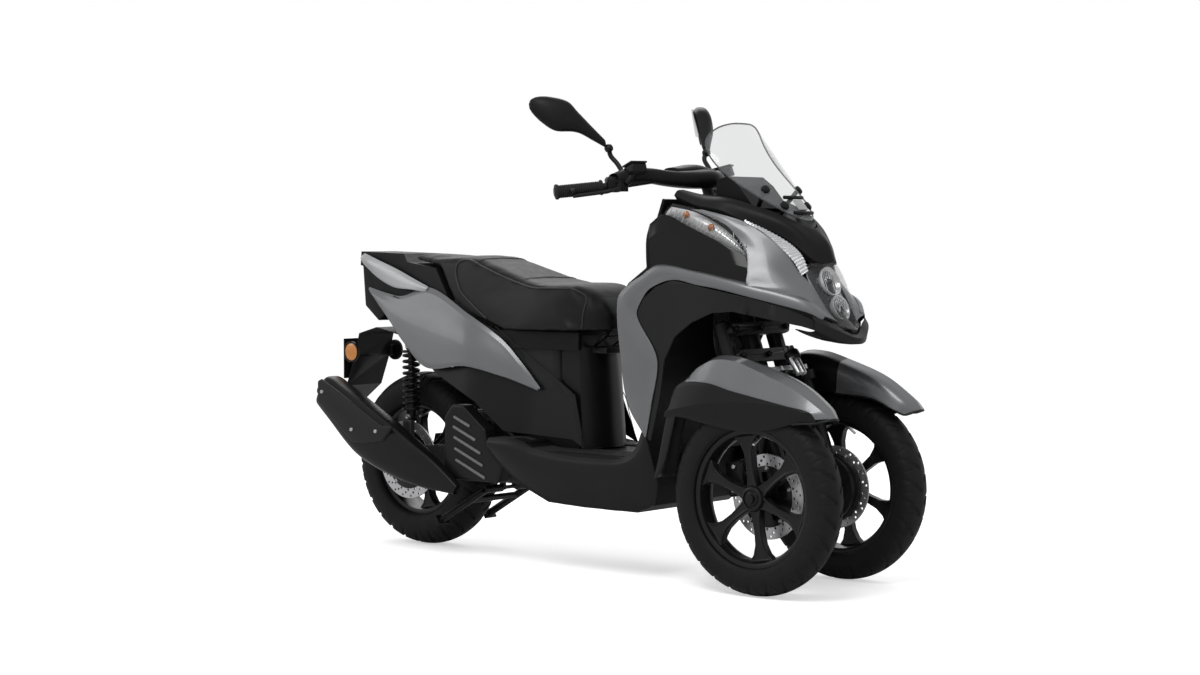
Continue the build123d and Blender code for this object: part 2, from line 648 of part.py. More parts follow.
# ---------------------------------------------------------------------------------------------
# Storage tub, the cover in front of it, and the seat that closes it
# ---------------------------------------------------------------------------------------------
TUB_BACK, TUB_FRONT = rear_x(-330.0), rear_x(-12.0)
TUB_HALF_W = 104.0
TUB_LOW, TUB_HIGH = 442.0, 640.0
with BuildPart() as storage_tub:
    with Locations(((TUB_BACK + TUB_FRONT) / 2, 0, (TUB_LOW + TUB_HIGH) / 2)):
        Box(TUB_FRONT - TUB_BACK, 2 * TUB_HALF_W, TUB_HIGH - TUB_LOW)
    fillet(storage_tub.edges().filter_by(Axis.Z), radius=24)
    offset(amount=-WALL, openings=storage_tub.faces().sort_by(Axis.Z)[-1:])
save(storage_tub, "storage_tub")

SEAT_HINGE = (rear_x(118.0), 0.0, 636.0)
HINGE_PIN_R = 4.0
HINGE_LUG_Y = 54.0
HINGE_EAR_Y = 44.0
COVER_PLAN = rear(((0, 118), (72, 118), (150, 74), (176, 30)))
COVER_LOW, COVER_HIGH = FLOOR_TOP_Z + 4.0, 608.0
COVER_STEP_X, COVER_STEP_HIGH = rear_x(92.0), 640.0
with BuildPart() as under_seat_cover:
    with BuildSketch(Plane.XY.offset(COVER_LOW)):
        with BuildLine():
            Polyline(*COVER_PLAN, *[(x, -y) for x, y in reversed(COVER_PLAN)], close=True)
        make_face()
    extrude(amount=COVER_STEP_HIGH - COVER_LOW)
    with Locations(((COVER_STEP_X + FAR / 2), 0, COVER_HIGH + FAR / 2)):
        Box(FAR, FAR, FAR, mode=Mode.SUBTRACT)
    offset(amount=-WALL, openings=under_seat_cover.faces().sort_by(Axis.X)[:1])
    for y in (-HINGE_LUG_Y, HINGE_LUG_Y):
        with Locations((SEAT_HINGE[0], y, (COVER_HIGH + SEAT_HINGE[2]) / 2)):
            Box(18, 6, SEAT_HINGE[2] - COVER_HIGH + 14)
    with BuildSketch(across(SEAT_HINGE[0], -HINGE_LUG_Y, SEAT_HINGE[2])):
        Circle(HINGE_PIN_R)
    extrude(amount=2 * HINGE_LUG_Y)
save(under_seat_cover, "under_seat_cover")

SEAT_SIDE = rear((
    (-610, 862), (-430, 853), (-349, 856), (-280, 836), (-132, 792), (-72, 780), (51, 780), (97, 763),
    (136, 732),
    (152, 700), (150, 654), (-180, 652), (-325, 694), (-401, 726), (-482, 828), (-608, 845),
))
SEAT_HULL = rear(((-622, 74, 60), (-430, 122, 100), (-100, 158, 118), (60, 150, 112), (154, 60, 50)))
SEAT_HULL_LOW, SEAT_HULL_HIGH = 630.0, 880.0
with BuildPart() as seat:
    with BuildSketch(Plane.XZ.offset(-FAR)):
        with BuildLine():
            Polyline(*SEAT_SIDE, close=True)
        make_face()
    extrude(amount=2 * FAR)
    add(tapered_hull(SEAT_HULL, SEAT_HULL_LOW, SEAT_HULL_HIGH, 0).part, mode=Mode.INTERSECT)
    for y in (-HINGE_EAR_Y, HINGE_EAR_Y):
        with Locations((SEAT_HINGE[0], y, (SEAT_HINGE[2] + 660) / 2)):
            Box(16, 6, 660 - SEAT_HINGE[2] + 16)
    with BuildSketch(across(SEAT_HINGE[0], -HINGE_LUG_Y - 4, SEAT_HINGE[2])):
        Circle(HINGE_PIN_R + PIN_CLEARANCE)
    extrude(amount=2 * HINGE_LUG_Y + 8, mode=Mode.SUBTRACT)
save(seat, "seat")

# ---------------------------------------------------------------------------------------------
# Floor with its side skirts and belly
# ---------------------------------------------------------------------------------------------
FLOOR_FRONT = (
    (318, FLOOR_TOP_Z), (352, 345), (378, 376), (384, 340), (384, 250), (376, 200), (353, 183), (167, 183),
)
FLOOR_BACK = rear(((39, 188), (-60, 226), (-60, 350), (-6, 328), (60, FLOOR_TOP_Z)))
SKIRT_SIDE = rear(((-194, 329), (-92, 355), (-50, 346), (-50, 220), (-72, 233), (-134, 273)))
SKIRT_IN = 156.0
with BuildPart() as floorboard:
    with BuildSketch(Plane.XZ.offset(-FLOOR_HALF_W)):
        with BuildLine():
            Polyline(*FLOOR_FRONT, *FLOOR_BACK, close=True)
        make_face()
    extrude(amount=2 * FLOOR_HALF_W)
    for side, sign in SIDES:
        outer = max(sign * FLOOR_HALF_W, sign * SKIRT_IN)
        with BuildSketch(Plane.XZ.offset(-outer)):
            with BuildLine():
                Polyline(*SKIRT_SIDE, close=True)
            make_face()
        extrude(amount=FLOOR_HALF_W - SKIRT_IN)
    with BuildLine() as tunnel_line:
        FilletPolyline(*SPINE, radius=60)
    with BuildSketch(Plane(origin=tunnel_line.wire() @ 0, z_dir=tunnel_line.wire() % 0)):
        Circle(FRAME_TUBE_R + GAP)
    sweep(path=tunnel_line.wire(), mode=Mode.SUBTRACT)
save(floorboard, "floorboard")

# ---------------------------------------------------------------------------------------------
# Front body: one hull with a rounded prow, cut into its panels
# ---------------------------------------------------------------------------------------------
PROW_X = 935.0
FRONT_BACK_X = 280.0
FRONT_HALF_W = TRACK / 2 + 12.5
FRONT_WAIST_Z, FRONT_CROWN_Z = 790.0, 1040.0
FRONT_BASE_Z = 290.0
CROWN_NARROWING = 52.0
# Side outline of the hull as (x, z), from the back of the crown over the nose.
FRONT_SIDE = (
    (280, 1036), (434, 1034), (640, 985), (776, 937), (820, 897), (845, 852), (852, 800), (870, 752),
    (902, 716), (934, 698), (934, 676), (926, 654), (912, 640),
)


def front_plan(level, narrowing, inset):
    """Plan outline of the front body at one level, drawn in by inset."""
    wide = FRONT_HALF_W - narrowing
    nose = 56.0 - narrowing / 4
    with BuildSketch(Plane.XY.offset(level)) as plan:
        with BuildLine():
            Line((FRONT_BACK_X, wide), (560, wide - 8))
            ThreePointArc((560, wide - 8), (780, wide - 62), (PROW_X - 30, nose))
            ThreePointArc((PROW_X - 30, nose), (PROW_X, 0), (PROW_X - 30, -nose))
            ThreePointArc((PROW_X - 30, -nose), (780, 62 - wide), (560, 8 - wide))
            Line((560, 8 - wide), (FRONT_BACK_X, -wide))
            Line((FRONT_BACK_X, -wide), (FRONT_BACK_X, wide))
        make_face()
        if inset:
            offset(amount=-inset, kind=Kind.INTERSECTION)
    return plan.sketch


def front_hull(inset):
    """Front body hull: upright below the waist, drawn in towards the crown."""
    waist = front_plan(FRONT_WAIST_Z, 0, inset)
    crown = front_plan(FRONT_CROWN_Z, CROWN_NARROWING, inset)
    with BuildPart() as hull:
        extrude(front_plan(FRONT_BASE_Z, 0, inset), amount=FRONT_WAIST_Z - FRONT_BASE_Z)
        loft([waist, crown], ruled=True)
        add(under_line(FRONT_SIDE, FRONT_BASE_Z - 20, inset).part, mode=Mode.INTERSECT)
    return hull


with BuildPart() as front_shell:
    add(front_hull(0).part)
    add(front_hull(WALL).part, mode=Mode.SUBTRACT)
LAMP_DEPTH = 26.0
with BuildPart() as lamp_shell:
    add(front_hull(0).part)
    add(front_hull(LAMP_DEPTH).part, mode=Mode.SUBTRACT)

COWL = (
    (290, 745), (317, 777), (365, 804), (421, 836), (538, 819), (617, 806), (692, 798), (676, 860),
    (660, 881), (627, 922), (586, 953), (520, 984), (578, 966), (645, 937), (712, 886), (763, 843),
    (788, 812), (832, 762), (873, 699), (860, 712), (697, 757), (537, 788), (468, 800), (414, 782),
    (375, 752), (351, 714), (358, 667), (392, 628), (422, 595), (412, 500), (380, 388), (341, 440),
    (310, 540), (297, 620),
)
CHEEK = (
    (384, 946), (428, 972), (505, 938), (560, 915), (620, 889), (676, 860), (692, 798), (617, 806),
    (538, 819), (421, 836), (386, 818),
)
ARCH_LINER = (
    (384, 378), (412, 500), (422, 595), (392, 628), (358, 667), (351, 714), (375, 752), (414, 782),
    (468, 800), (537, 788), (697, 757), (858, 712), (858, 672), (822, 685), (724, 707), (654, 720),
    (593, 716), (527, 689), (475, 652), (442, 590), (428, 490), (398, 376),
)
NOSE_COVER = ((858, 712), (873, 699), (895, 672), (932, 716), (940, 690), (936, 650), (912, 641), (858, 672))
TURN_SIGNAL = (
    (450, 1001), (428, 972), (505, 938), (560, 915), (620, 889), (676, 860), (660, 881), (627, 922),
    (586, 953), (520, 984),
)
HEADLIGHT = (
    (788, 812), (763, 843), (712, 886), (645, 937), (720, 908), (772, 880), (808, 845), (838, 842),
    (850, 852), (856, 800), (875, 752), (906, 716), (895, 672), (873, 699), (832, 762),
)
BEAK = (
    (440, 1045), (440, 1003), (520, 984), (578, 966), (645, 937), (720, 908), (772, 880), (808, 845),
    (838, 842), (850, 852), (846, 900), (790, 960), (640, 1010),
)
BEAK_SLOT_X, BEAK_SLOT_HALF_W = 505.0, 62.0
for side, sign in SIDES:
    save(panel(front_shell, COWL, sign), f"{side}_front_cowl")
    save(panel(front_shell, CHEEK, sign), f"{side}_cheek_panel")
    save(panel(front_shell, ARCH_LINER, sign), f"{side}_arch_liner")
    save(panel(lamp_shell, TURN_SIGNAL, sign), f"{side}_turn_signal")
save(panel(front_shell, NOSE_COVER), "nose_cover")
save(panel(lamp_shell, HEADLIGHT), "headlight")
with BuildPart() as front_beak:
    add(panel(front_shell, BEAK).part)
    with BuildSketch(Plane.XY.offset(950)):
        with Locations((BEAK_SLOT_X - 100, 0)):
            Rectangle(200, 2 * BEAK_SLOT_HALF_W)
    extrude(amount=150, mode=Mode.SUBTRACT)
save(front_beak, "front_beak")

LEG_SHIELD = (
    (322, 332), (290, 560), (288, 745), (320, 790), (372, 830), (383, 946), (396, 1012), (404, 1010),
    (391, 945), (380, 826), (326, 784), (296, 742), (298, 562), (330, 336),
)
with BuildPart() as leg_shield:
    with BuildSketch(Plane.XZ.offset(-FAR)):
        with BuildLine():
            Polyline(*LEG_SHIELD, close=True)
        make_face()
    extrude(amount=2 * FAR)
    add(front_hull(WALL + GAP).part, mode=Mode.INTERSECT)
save(leg_shield, "leg_shield")

# ---------------------------------------------------------------------------------------------
# Windscreen and meter housing
# ---------------------------------------------------------------------------------------------
SCREEN_TOP = (548.0, 1212.0)
SCREEN_FOOT = (762.0, 952.0)
SCREEN_R = 180.0
SCREEN_WALL = 4.0
# Front view outline of the screen as (y, z).
SCREEN_OUTLINE = (
    (0, 1212), (45, 1210), (80, 1200), (110, 1185), (128, 1160), (136, 1125), (133, 1090), (124, 1060),
    (90, 1006), (40, 966), (0, 954),
)
screen_dir = Vector(SCREEN_TOP[0] - SCREEN_FOOT[0], 0, SCREEN_TOP[1] - SCREEN_FOOT[1]).normalized()
screen_out = Vector(screen_dir.Z, 0, -screen_dir.X)
screen_base = Vector(SCREEN_FOOT[0], 0, SCREEN_FOOT[1]) - screen_dir * 120 - screen_out * SCREEN_R
with BuildPart() as windscreen:
    with BuildSketch(Plane(origin=screen_base, x_dir=screen_out, z_dir=screen_dir)):
        Circle(SCREEN_R)
        Circle(SCREEN_R - SCREEN_WALL, mode=Mode.SUBTRACT)
        with Locations((-SCREEN_R / 2 - 20, 0)):
            Rectangle(SCREEN_R + 40, 3 * SCREEN_R, mode=Mode.SUBTRACT)
    extrude(amount=600)
    with BuildSketch(Plane(origin=(300, 0, 0), x_dir=(0, 1, 0), z_dir=(1, 0, 0))) as front_view:
        with BuildLine():
            Polyline(*SCREEN_OUTLINE, *[(-y, z) for y, z in reversed(SCREEN_OUTLINE[1:-1])], close=True)
        make_face()
    extrude(amount=600, mode=Mode.INTERSECT)
save(windscreen, "windscreen")

METER = ((520, 1015), (520, 1062), (556, 1070), (590, 1046), (642, 986))
METER_HALF_W = 78.0
with BuildPart() as meter_housing:
    with BuildSketch(Plane.XZ.offset(-METER_HALF_W)):
        with BuildLine():
            Polyline(*METER, close=True)
        make_face()
    extrude(amount=2 * METER_HALF_W)
save(meter_housing, "meter_housing")

# ---------------------------------------------------------------------------------------------
# Handlebar with its column, cover, grips, mirrors, and the tie rod
# ---------------------------------------------------------------------------------------------
BAR_Z = AXIS_DATUM_Z + BAR_AT * cos(RAKE)
BAR_X = axis_plane(0).origin.X - BAR_AT * sin(RAKE)
BAR_ROOT = (BAR_X - 22, 92, BAR_Z + 4)
GRIP_IN = (272, 250, 1042)
GRIP_OUT = (196, 352, 1029)
BAR = (BAR_ROOT, GRIP_IN, GRIP_OUT)
with BuildPart() as handlebar:
    column = axis_plane(0)
    with BuildSketch(column.offset(CLAMP_LOW)):
        Circle(STEM_R)
    extrude(amount=BAR_AT - CLAMP_LOW + 4)
    with BuildSketch(column.offset(CLAMP_LOW)):
        with Locations((TIE_AHEAD / 2, 0)):
            SlotCenterToCenter(TIE_AHEAD, 36)
    extrude(amount=CLAMP_HIGH - CLAMP_LOW)
    with BuildSketch(column.offset(CLAMP_HIGH - 2)):
        with Locations((TIE_AHEAD, 0)):
            Circle(TIE_PIN_R)
    extrude(amount=TIE_HIGH + 6 - CLAMP_HIGH)
    with BuildLine() as bar_line:
        FilletPolyline(*[(x, -y, z) for x, y, z in reversed(BAR)], *BAR, radius=30)
    with BuildSketch(Plane(origin=bar_line.wire() @ 0, z_dir=bar_line.wire() % 0)):
        Circle(BAR_R)
    sweep(path=bar_line.wire())
    with Locations((BAR_X - 12, 0, BAR_Z)):
        Box(50, 40, 30)
    for side, sign in SIDES:
        with Locations((300, sign * 222, 1046)):
            Box(52, 30, 30)
        with BuildLine() as lever_line:
            Polyline((322, sign * 222, 1044), (300, sign * 262, 1030), (240, sign * 330, 1018))
        with BuildSketch(Plane(origin=lever_line.wire() @ 0, z_dir=lever_line.wire() % 0)):
            Circle(5)
        sweep(path=lever_line.wire(), transition=Transition.ROUND)
save(handlebar, "handlebar")

BAR_COVER_PLAN = ((322, 60), (292, 168), (380, 170), (440, 120), (452, 40))
BAR_COVER_BELOW, BAR_COVER_ABOVE = 16.0, 42.0
BAR_COVER_DRAW = 12.0
with BuildPart() as handlebar_cover:
    for inset, mode in ((0, Mode.ADD), (WALL, Mode.SUBTRACT)):
        for height, draw in ((-BAR_COVER_BELOW, 0), (BAR_COVER_ABOVE, BAR_COVER_DRAW)):
            with BuildSketch(Plane.XY.offset(BAR_Z + height - inset)):
                with BuildLine():
                    Polyline(*BAR_COVER_PLAN, *[(x, -y) for x, y in reversed(BAR_COVER_PLAN)], close=True)
                make_face()
                if inset + draw:
                    offset(amount=-inset - draw, kind=Kind.INTERSECTION)
        loft(ruled=True, mode=mode)
    with BuildLine() as passage_line:
        FilletPolyline(*[(x, -y, z) for x, y, z in reversed(BAR)], *BAR, radius=30)
    with BuildSketch(Plane(origin=passage_line.wire() @ 0, z_dir=passage_line.wire() % 0)):
        Circle(BAR_R + GAP)
    sweep(path=passage_line.wire(), mode=Mode.SUBTRACT)
save(handlebar_cover, "handlebar_cover")

GRIP_R = 17.0
GRIP_BORE_GAP = 0.3
for side, sign in SIDES:
    start = Vector(GRIP_IN[0], sign * GRIP_IN[1], GRIP_IN[2])
    end = Vector(GRIP_OUT[0], sign * GRIP_OUT[1], GRIP_OUT[2])
    along = (end - start).normalized()
    with BuildPart() as grip:
        with BuildSketch(Plane(origin=start + along * 16, z_dir=along)):
            Circle(GRIP_R)
            Circle(BAR_R + GRIP_BORE_GAP, mode=Mode.SUBTRACT)
        extrude(amount=(end - start).length - 24)
    save(grip, f"{side}_grip")

MIRROR_TIP = (134, 362.6, 1258)
MIRROR_TOP = (206, 346, 1268)
MIRROR_NECK = (304, 262, 1152)
MIRROR_STALK = ((318, 232, 1066), (331, 240, 1100), MIRROR_NECK)
MIRROR_DEPTH = 24.0
for side, sign in SIDES:
    tip, top, neck = (Vector(x, sign * y, z) for x, y, z in (MIRROR_TIP, MIRROR_TOP, MIRROR_NECK))
    along = (tip - neck).normalized()
    facing = along.cross(top - neck).normalized()
    face = Plane(origin=neck - facing * (MIRROR_DEPTH / 2), x_dir=along, z_dir=facing)
    length = (tip - neck).length
    rise = (top - neck).dot(face.y_dir)
    reach = (top - neck).dot(along)
    drop = 0.35 * rise
    with BuildPart() as mirror:
        with BuildSketch(face):
            with BuildLine():
                Polyline(
                    (-6, -6),
                    (0.32 * length, -drop),
                    (0.75 * length, -drop),
                    (length - 4, -8),
                    (length, 12),
                    (reach, rise),
                    (0.28 * length, 0.72 * rise),
                    (-6, 8),
                    close=True,
                )
            make_face()
        extrude(amount=MIRROR_DEPTH)
        with BuildLine() as stalk_line:
            Polyline(*[(x, sign * y, z) for x, y, z in MIRROR_STALK])
        with BuildSketch(Plane(origin=stalk_line.wire() @ 0, z_dir=stalk_line.wire() % 0)):
            Circle(5)
        sweep(path=stalk_line.wire(), transition=Transition.ROUND)
    save(mirror, f"{side}_mirror")

with BuildPart() as tie_rod:
    with BuildSketch(axis_plane(0).offset(TIE_LOW)):
        with Locations((TIE_AHEAD, 0)):
            Rectangle(14, STEER_TRACK)
        with Locations((TIE_AHEAD, -KNUCKLE_Y), (TIE_AHEAD, 0), (TIE_AHEAD, KNUCKLE_Y)):
            Circle(TIE_EYE_R)
        with Locations((TIE_AHEAD, 0)):
            Circle(TIE_PIN_R + PIN_CLEARANCE, mode=Mode.SUBTRACT)
        with Locations((TIE_AHEAD, -KNUCKLE_Y), (TIE_AHEAD, KNUCKLE_Y)):
            Circle(TIE_PIN_R + OPEN_EYE_GAP, mode=Mode.SUBTRACT)
    extrude(amount=TIE_HIGH - TIE_LOW)
save(tie_rod, "tie_rod")

# ---------------------------------------------------------------------------------------------
# Stands
# ---------------------------------------------------------------------------------------------
STAND_LEG = 196.0
STAND_FOLD = radians(30)
STAND_TUBE_R = 11.0
STAND_BAR_AT = 70.0
STAND_SOLE = (46.0, 28.0, 6.0)


def along_leg(distance, y):
    """Point down the folded leg of the centre stand."""
    return (STAND_PIVOT[0] - distance * cos(STAND_FOLD), y, STAND_PIVOT[2] - distance * sin(STAND_FOLD))


with BuildPart() as centre_stand:
    for side, sign in SIDES:
        low = min(sign * (STAND_LUG_Y + 6), sign * (STAND_Y + 6))
        with BuildSketch(across(STAND_PIVOT[0], low, STAND_PIVOT[2])):
            Circle(STAND_TUBE_R)
        extrude(amount=STAND_Y - STAND_LUG_Y)
        down_leg = (-cos(STAND_FOLD), 0, -sin(STAND_FOLD))
        leg = Plane(origin=along_leg(0, sign * STAND_Y), x_dir=(0, 1, 0), z_dir=down_leg)
        with BuildSketch(leg):
            Circle(STAND_TUBE_R)
        extrude(amount=STAND_LEG)
        with BuildSketch(leg.offset(STAND_LEG - 1)):
            Rectangle(*STAND_SOLE[:2])
        extrude(amount=STAND_SOLE[2])
    with BuildSketch(across(*along_leg(STAND_BAR_AT, -STAND_Y))):
        Circle(STAND_TUBE_R - 2)
    extrude(amount=2 * STAND_Y)
    with BuildSketch(across(STAND_PIVOT[0], -FAR, STAND_PIVOT[2])):
        Circle(STAND_PIN_R + PIN_CLEARANCE)
    extrude(amount=2 * FAR, mode=Mode.SUBTRACT)
save(centre_stand, "centre_stand")

with BuildPart() as side_stand:
    with BuildSketch(Plane(origin=SIDE_PIVOT - SIDE_AXIS * 6, x_dir=SIDE_FOLDED, z_dir=SIDE_AXIS)):
        with Locations((SIDE_LEG / 2, 0)):
            SlotCenterToCenter(SIDE_LEG, 22)
        Circle(SIDE_PIN_R + PIN_CLEARANCE, mode=Mode.SUBTRACT)
    extrude(amount=12)
    with BuildSketch(Plane(origin=SIDE_PIVOT + SIDE_FOLDED * SIDE_LEG, x_dir=SIDE_AXIS, z_dir=SIDE_FOLDED)):
        Rectangle(40, 40)
    extrude(amount=5)
save(side_stand, "side_stand")
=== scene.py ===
"""Looks of the tilting three-wheel scooter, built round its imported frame."""

import logging
from dataclasses import dataclass
from enum import Enum
from math import cos, degrees, pi, radians, sin, sqrt
from typing import Callable, Iterable, Sequence

import bpy
from mathutils import Matrix, Vector


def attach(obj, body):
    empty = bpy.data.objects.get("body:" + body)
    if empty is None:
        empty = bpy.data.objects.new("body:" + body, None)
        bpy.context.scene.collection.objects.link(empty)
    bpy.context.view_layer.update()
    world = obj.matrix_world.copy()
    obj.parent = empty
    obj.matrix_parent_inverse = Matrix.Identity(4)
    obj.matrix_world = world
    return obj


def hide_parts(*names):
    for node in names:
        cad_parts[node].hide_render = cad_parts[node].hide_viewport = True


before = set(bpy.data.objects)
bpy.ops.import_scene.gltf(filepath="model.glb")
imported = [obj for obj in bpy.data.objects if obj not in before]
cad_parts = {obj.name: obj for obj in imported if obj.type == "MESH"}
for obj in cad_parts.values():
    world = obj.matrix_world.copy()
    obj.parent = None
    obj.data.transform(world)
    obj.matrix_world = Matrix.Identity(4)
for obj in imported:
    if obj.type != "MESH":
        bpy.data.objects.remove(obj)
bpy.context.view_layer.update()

LOG = logging.getLogger("scooter")
MM = 0.001

Point = tuple[float, float, float]
Flat = tuple[float, float]


class Side(Enum):
    """Side of the vehicle; the value is the sign of its y."""

    LEFT = 1
    RIGHT = -1

    @property
    def word(self) -> str:
        """Name of the side in the part's node names."""
        return self.name.lower()


class Grain(Enum):
    """Kind of fine relief that a finish has."""

    MOULDED = "moulded"
    FLAKE = "flake"
    LEATHER = "leather"
    RUBBER = "rubber"
    CAST = "cast"
    BRUSHED = "brushed"
    POLISHED = "polished"


@dataclass(frozen=True)
class Finish:
    """A surface finish with its colour, gloss, relief and wear."""

    name: str
    colour: tuple[float, float, float]
    grain: Grain = Grain.MOULDED
    metallic: float = 0.0
    roughness: float = 0.5
    relief_mm: float = 0.03
    grain_mm: float = 1.2
    mottle: float = 0.12
    coat: float = 0.0
    transmission: float = 0.0
    ior: float = 1.45
    glow: float = 0.0
    alpha: float = 1.0
    rim_mm: float = 1.3
    specular: float = 0.5

    def material(self) -> bpy.types.Material:
        """Builds the node material once and gives it back.

        Returns:
            The material, shared by every piece with this finish.
        """
        found = bpy.data.materials.get(self.name)
        if found:
            return found
        mat = bpy.data.materials.new(self.name)
        mat.use_nodes = True
        nodes, links = mat.node_tree.nodes, mat.node_tree.links
        shader = nodes["Principled BSDF"]
        place = nodes.new("ShaderNodeTexCoord").outputs["Object"]
        shader.inputs["Metallic"].default_value = self.metallic
        shader.inputs["Coat Weight"].default_value = self.coat
        shader.inputs["Coat Roughness"].default_value = 0.08
        shader.inputs["Transmission Weight"].default_value = self.transmission
        shader.inputs["IOR"].default_value = self.ior
        shader.inputs["Alpha"].default_value = self.alpha
        shader.inputs["Specular IOR Level"].default_value = self.specular
        if self.glow:
            shader.inputs["Emission Color"].default_value = (*self.colour, 1)
            shader.inputs["Emission Strength"].default_value = self.glow
        wide = self._noise(nodes, links, place, 7.0, 4.0)
        ramp = nodes.new("ShaderNodeValToRGB")
        low, high = 1 - self.mottle, 1 + self.mottle
        ramp.color_ramp.elements[0].position = 0.3
        ramp.color_ramp.elements[1].position = 0.7
        ramp.color_ramp.elements[0].color = (*[min(1, c * low) for c in self.colour], 1)
        ramp.color_ramp.elements[1].color = (*[min(1, c * high) for c in self.colour], 1)
        links.new(wide, ramp.inputs["Fac"])
        links.new(ramp.outputs["Color"], shader.inputs["Base Color"])
        scuffs = self._noise(nodes, links, place, 46.0, 6.0)
        gloss = nodes.new("ShaderNodeMapRange")
        gloss.inputs["To Min"].default_value = max(0.02, self.roughness * 0.85)
        gloss.inputs["To Max"].default_value = min(1.0, self.roughness * 1.18 + 0.01)
        links.new(scuffs, gloss.inputs["Value"])
        links.new(gloss.outputs["Result"], shader.inputs["Roughness"])
        height = self._relief(nodes, links, place)
        if self.relief_mm:
            bump = nodes.new("ShaderNodeBump")
            bump.inputs["Strength"].default_value = 0.6
            bump.inputs["Distance"].default_value = self.relief_mm * MM
            rim = nodes.new("ShaderNodeBevel")
            rim.samples = 4
            rim.inputs["Radius"].default_value = self.rim_mm * MM
            links.new(rim.outputs["Normal"], bump.inputs["Normal"])
            links.new(height, bump.inputs["Height"])
            links.new(bump.outputs["Normal"], shader.inputs["Normal"])
        return mat

    @staticmethod
    def _noise(nodes: bpy.types.Nodes, links: bpy.types.NodeLinks, place: bpy.types.NodeSocket, scale: float,
               detail: float) -> bpy.types.NodeSocket:
        """Adds a noise texture and gives its value socket."""
        noise = nodes.new("ShaderNodeTexNoise")
        noise.inputs["Scale"].default_value = scale
        noise.inputs["Detail"].default_value = detail
        links.new(place, noise.inputs["Vector"])
        return noise.outputs["Fac"]

    def _relief(self, nodes: bpy.types.Nodes, links: bpy.types.NodeLinks,
                place: bpy.types.NodeSocket) -> bpy.types.NodeSocket:
        """Adds the texture of the fine relief and gives its height socket."""
        scale = 1 / (self.grain_mm * MM)
        if self.grain is Grain.POLISHED:
            return self._noise(nodes, links, place, scale * 0.3, 1.0)
        if self.grain in (Grain.LEATHER, Grain.RUBBER):
            cells = nodes.new("ShaderNodeTexVoronoi")
            cells.feature = "DISTANCE_TO_EDGE" if self.grain is Grain.LEATHER else "F1"
            cells.inputs["Scale"].default_value = scale
            links.new(place, cells.inputs["Vector"])
            edge = nodes.new("ShaderNodeMapRange")
            edge.inputs["From Max"].default_value = 0.35
            links.new(cells.outputs["Distance"], edge.inputs["Value"])
            return edge.outputs["Result"]
        if self.grain is Grain.BRUSHED:
            stretch = nodes.new("ShaderNodeMapping")
            stretch.inputs["Scale"].default_value = (1.0, 14.0, 1.0)
            links.new(place, stretch.inputs["Vector"])
            return self._noise(nodes, links, stretch.outputs["Vector"], scale * 0.2, 3.0)
        return self._noise(nodes, links, place, scale, 3.0 if self.grain is Grain.CAST else 2.0)


SILVER = Finish("silver paint", (0.118, 0.120, 0.125), Grain.FLAKE, 0.55, 0.36, 0.006, 0.5, 0.05, 0.35)
BRIGHT_SILVER = Finish("rail silver", (0.30, 0.303, 0.31), Grain.FLAKE, 0.55, 0.33, 0.006, 0.5, 0.04, 0.3)
MATTE_BLACK = Finish("matte black plastic", (0.0050, 0.0050, 0.0052), Grain.MOULDED, 0.0, 0.44, 0.03, 0.9,
                     specular=0.14)
BODY_BLACK = Finish("satin black plastic", (0.0050, 0.0050, 0.0052), Grain.MOULDED, 0.0, 0.30, 0.012, 0.9,
                    0.1, specular=0.18)
DARK_GREY = Finish("dark grey plastic", (0.0085, 0.0085, 0.0088), Grain.MOULDED, 0.0, 0.40, 0.03, 0.9,
                   specular=0.2)
GLOSS_BLACK = Finish("gloss black paint", (0.0035, 0.0035, 0.0037), Grain.POLISHED, 0.0, 0.10, 0.003, 3.0,
                     0.05, specular=0.22)
WHEEL_BLACK = Finish("wheel black", (0.0050, 0.0050, 0.0052), Grain.POLISHED, 0.1, 0.28, 0.006, 2.0, 0.1,
                     specular=0.26)
FRAME_BLACK = Finish("frame black", (0.0058, 0.0058, 0.006), Grain.CAST, 0.2, 0.42, 0.05, 1.5, specular=0.24)
CAST_GREY = Finish("cast case grey", (0.026, 0.0265, 0.028), Grain.CAST, 0.5, 0.50, 0.12, 1.6, 0.2,
                   specular=0.35)
BARE_METAL = Finish("bare alloy", (0.42, 0.42, 0.43), Grain.BRUSHED, 0.9, 0.32, 0.02, 1.0, 0.08)
DISC_STEEL = Finish("brake disc steel", (0.42, 0.42, 0.43), Grain.BRUSHED, 0.85, 0.36, 0.02, 0.8, 0.06)
CHROME = Finish("lamp reflector", (0.66, 0.67, 0.68), Grain.POLISHED, 1.0, 0.14, 0.8, 6.0, 0.25)
TRAY = Finish("signal tray", (0.62, 0.622, 0.63), Grain.POLISHED, 0.35, 0.22, 1.6, 6.0, 0.55)
RIB_WHITE = Finish("ribbed lamp white", (0.46, 0.465, 0.475), Grain.POLISHED, 0.5, 0.22, 0.02, 2.0, 0.04)
SMOKED = Finish("smoked lamp body", (0.022, 0.023, 0.025), Grain.POLISHED, 0.3, 0.2, 0.01, 2.0, 0.05, 0.2,
                specular=0.3)
TYRE = Finish("tyre rubber", (0.0055, 0.0055, 0.0056), Grain.RUBBER, 0.0, 0.60, 0.05, 0.8, 0.18,
              specular=0.18)
GRIP = Finish("grip rubber", (0.007, 0.007, 0.007), Grain.RUBBER, 0.0, 0.60, 0.06, 1.0, specular=0.24)
MAT = Finish("floor rubber", (0.0085, 0.0085, 0.0085), Grain.RUBBER, 0.0, 0.66, 0.08, 1.2, specular=0.24)
SEAT_TOP = Finish("seat vinyl", (0.0062, 0.0062, 0.0064), Grain.LEATHER, 0.0, 0.50, 0.10, 1.5, 0.12,
                  specular=0.16)
SEAT_SIDE = Finish("seat side vinyl", (0.0048, 0.0048, 0.005), Grain.LEATHER, 0.0, 0.40, 0.05, 0.9, 0.1,
                   specular=0.2)
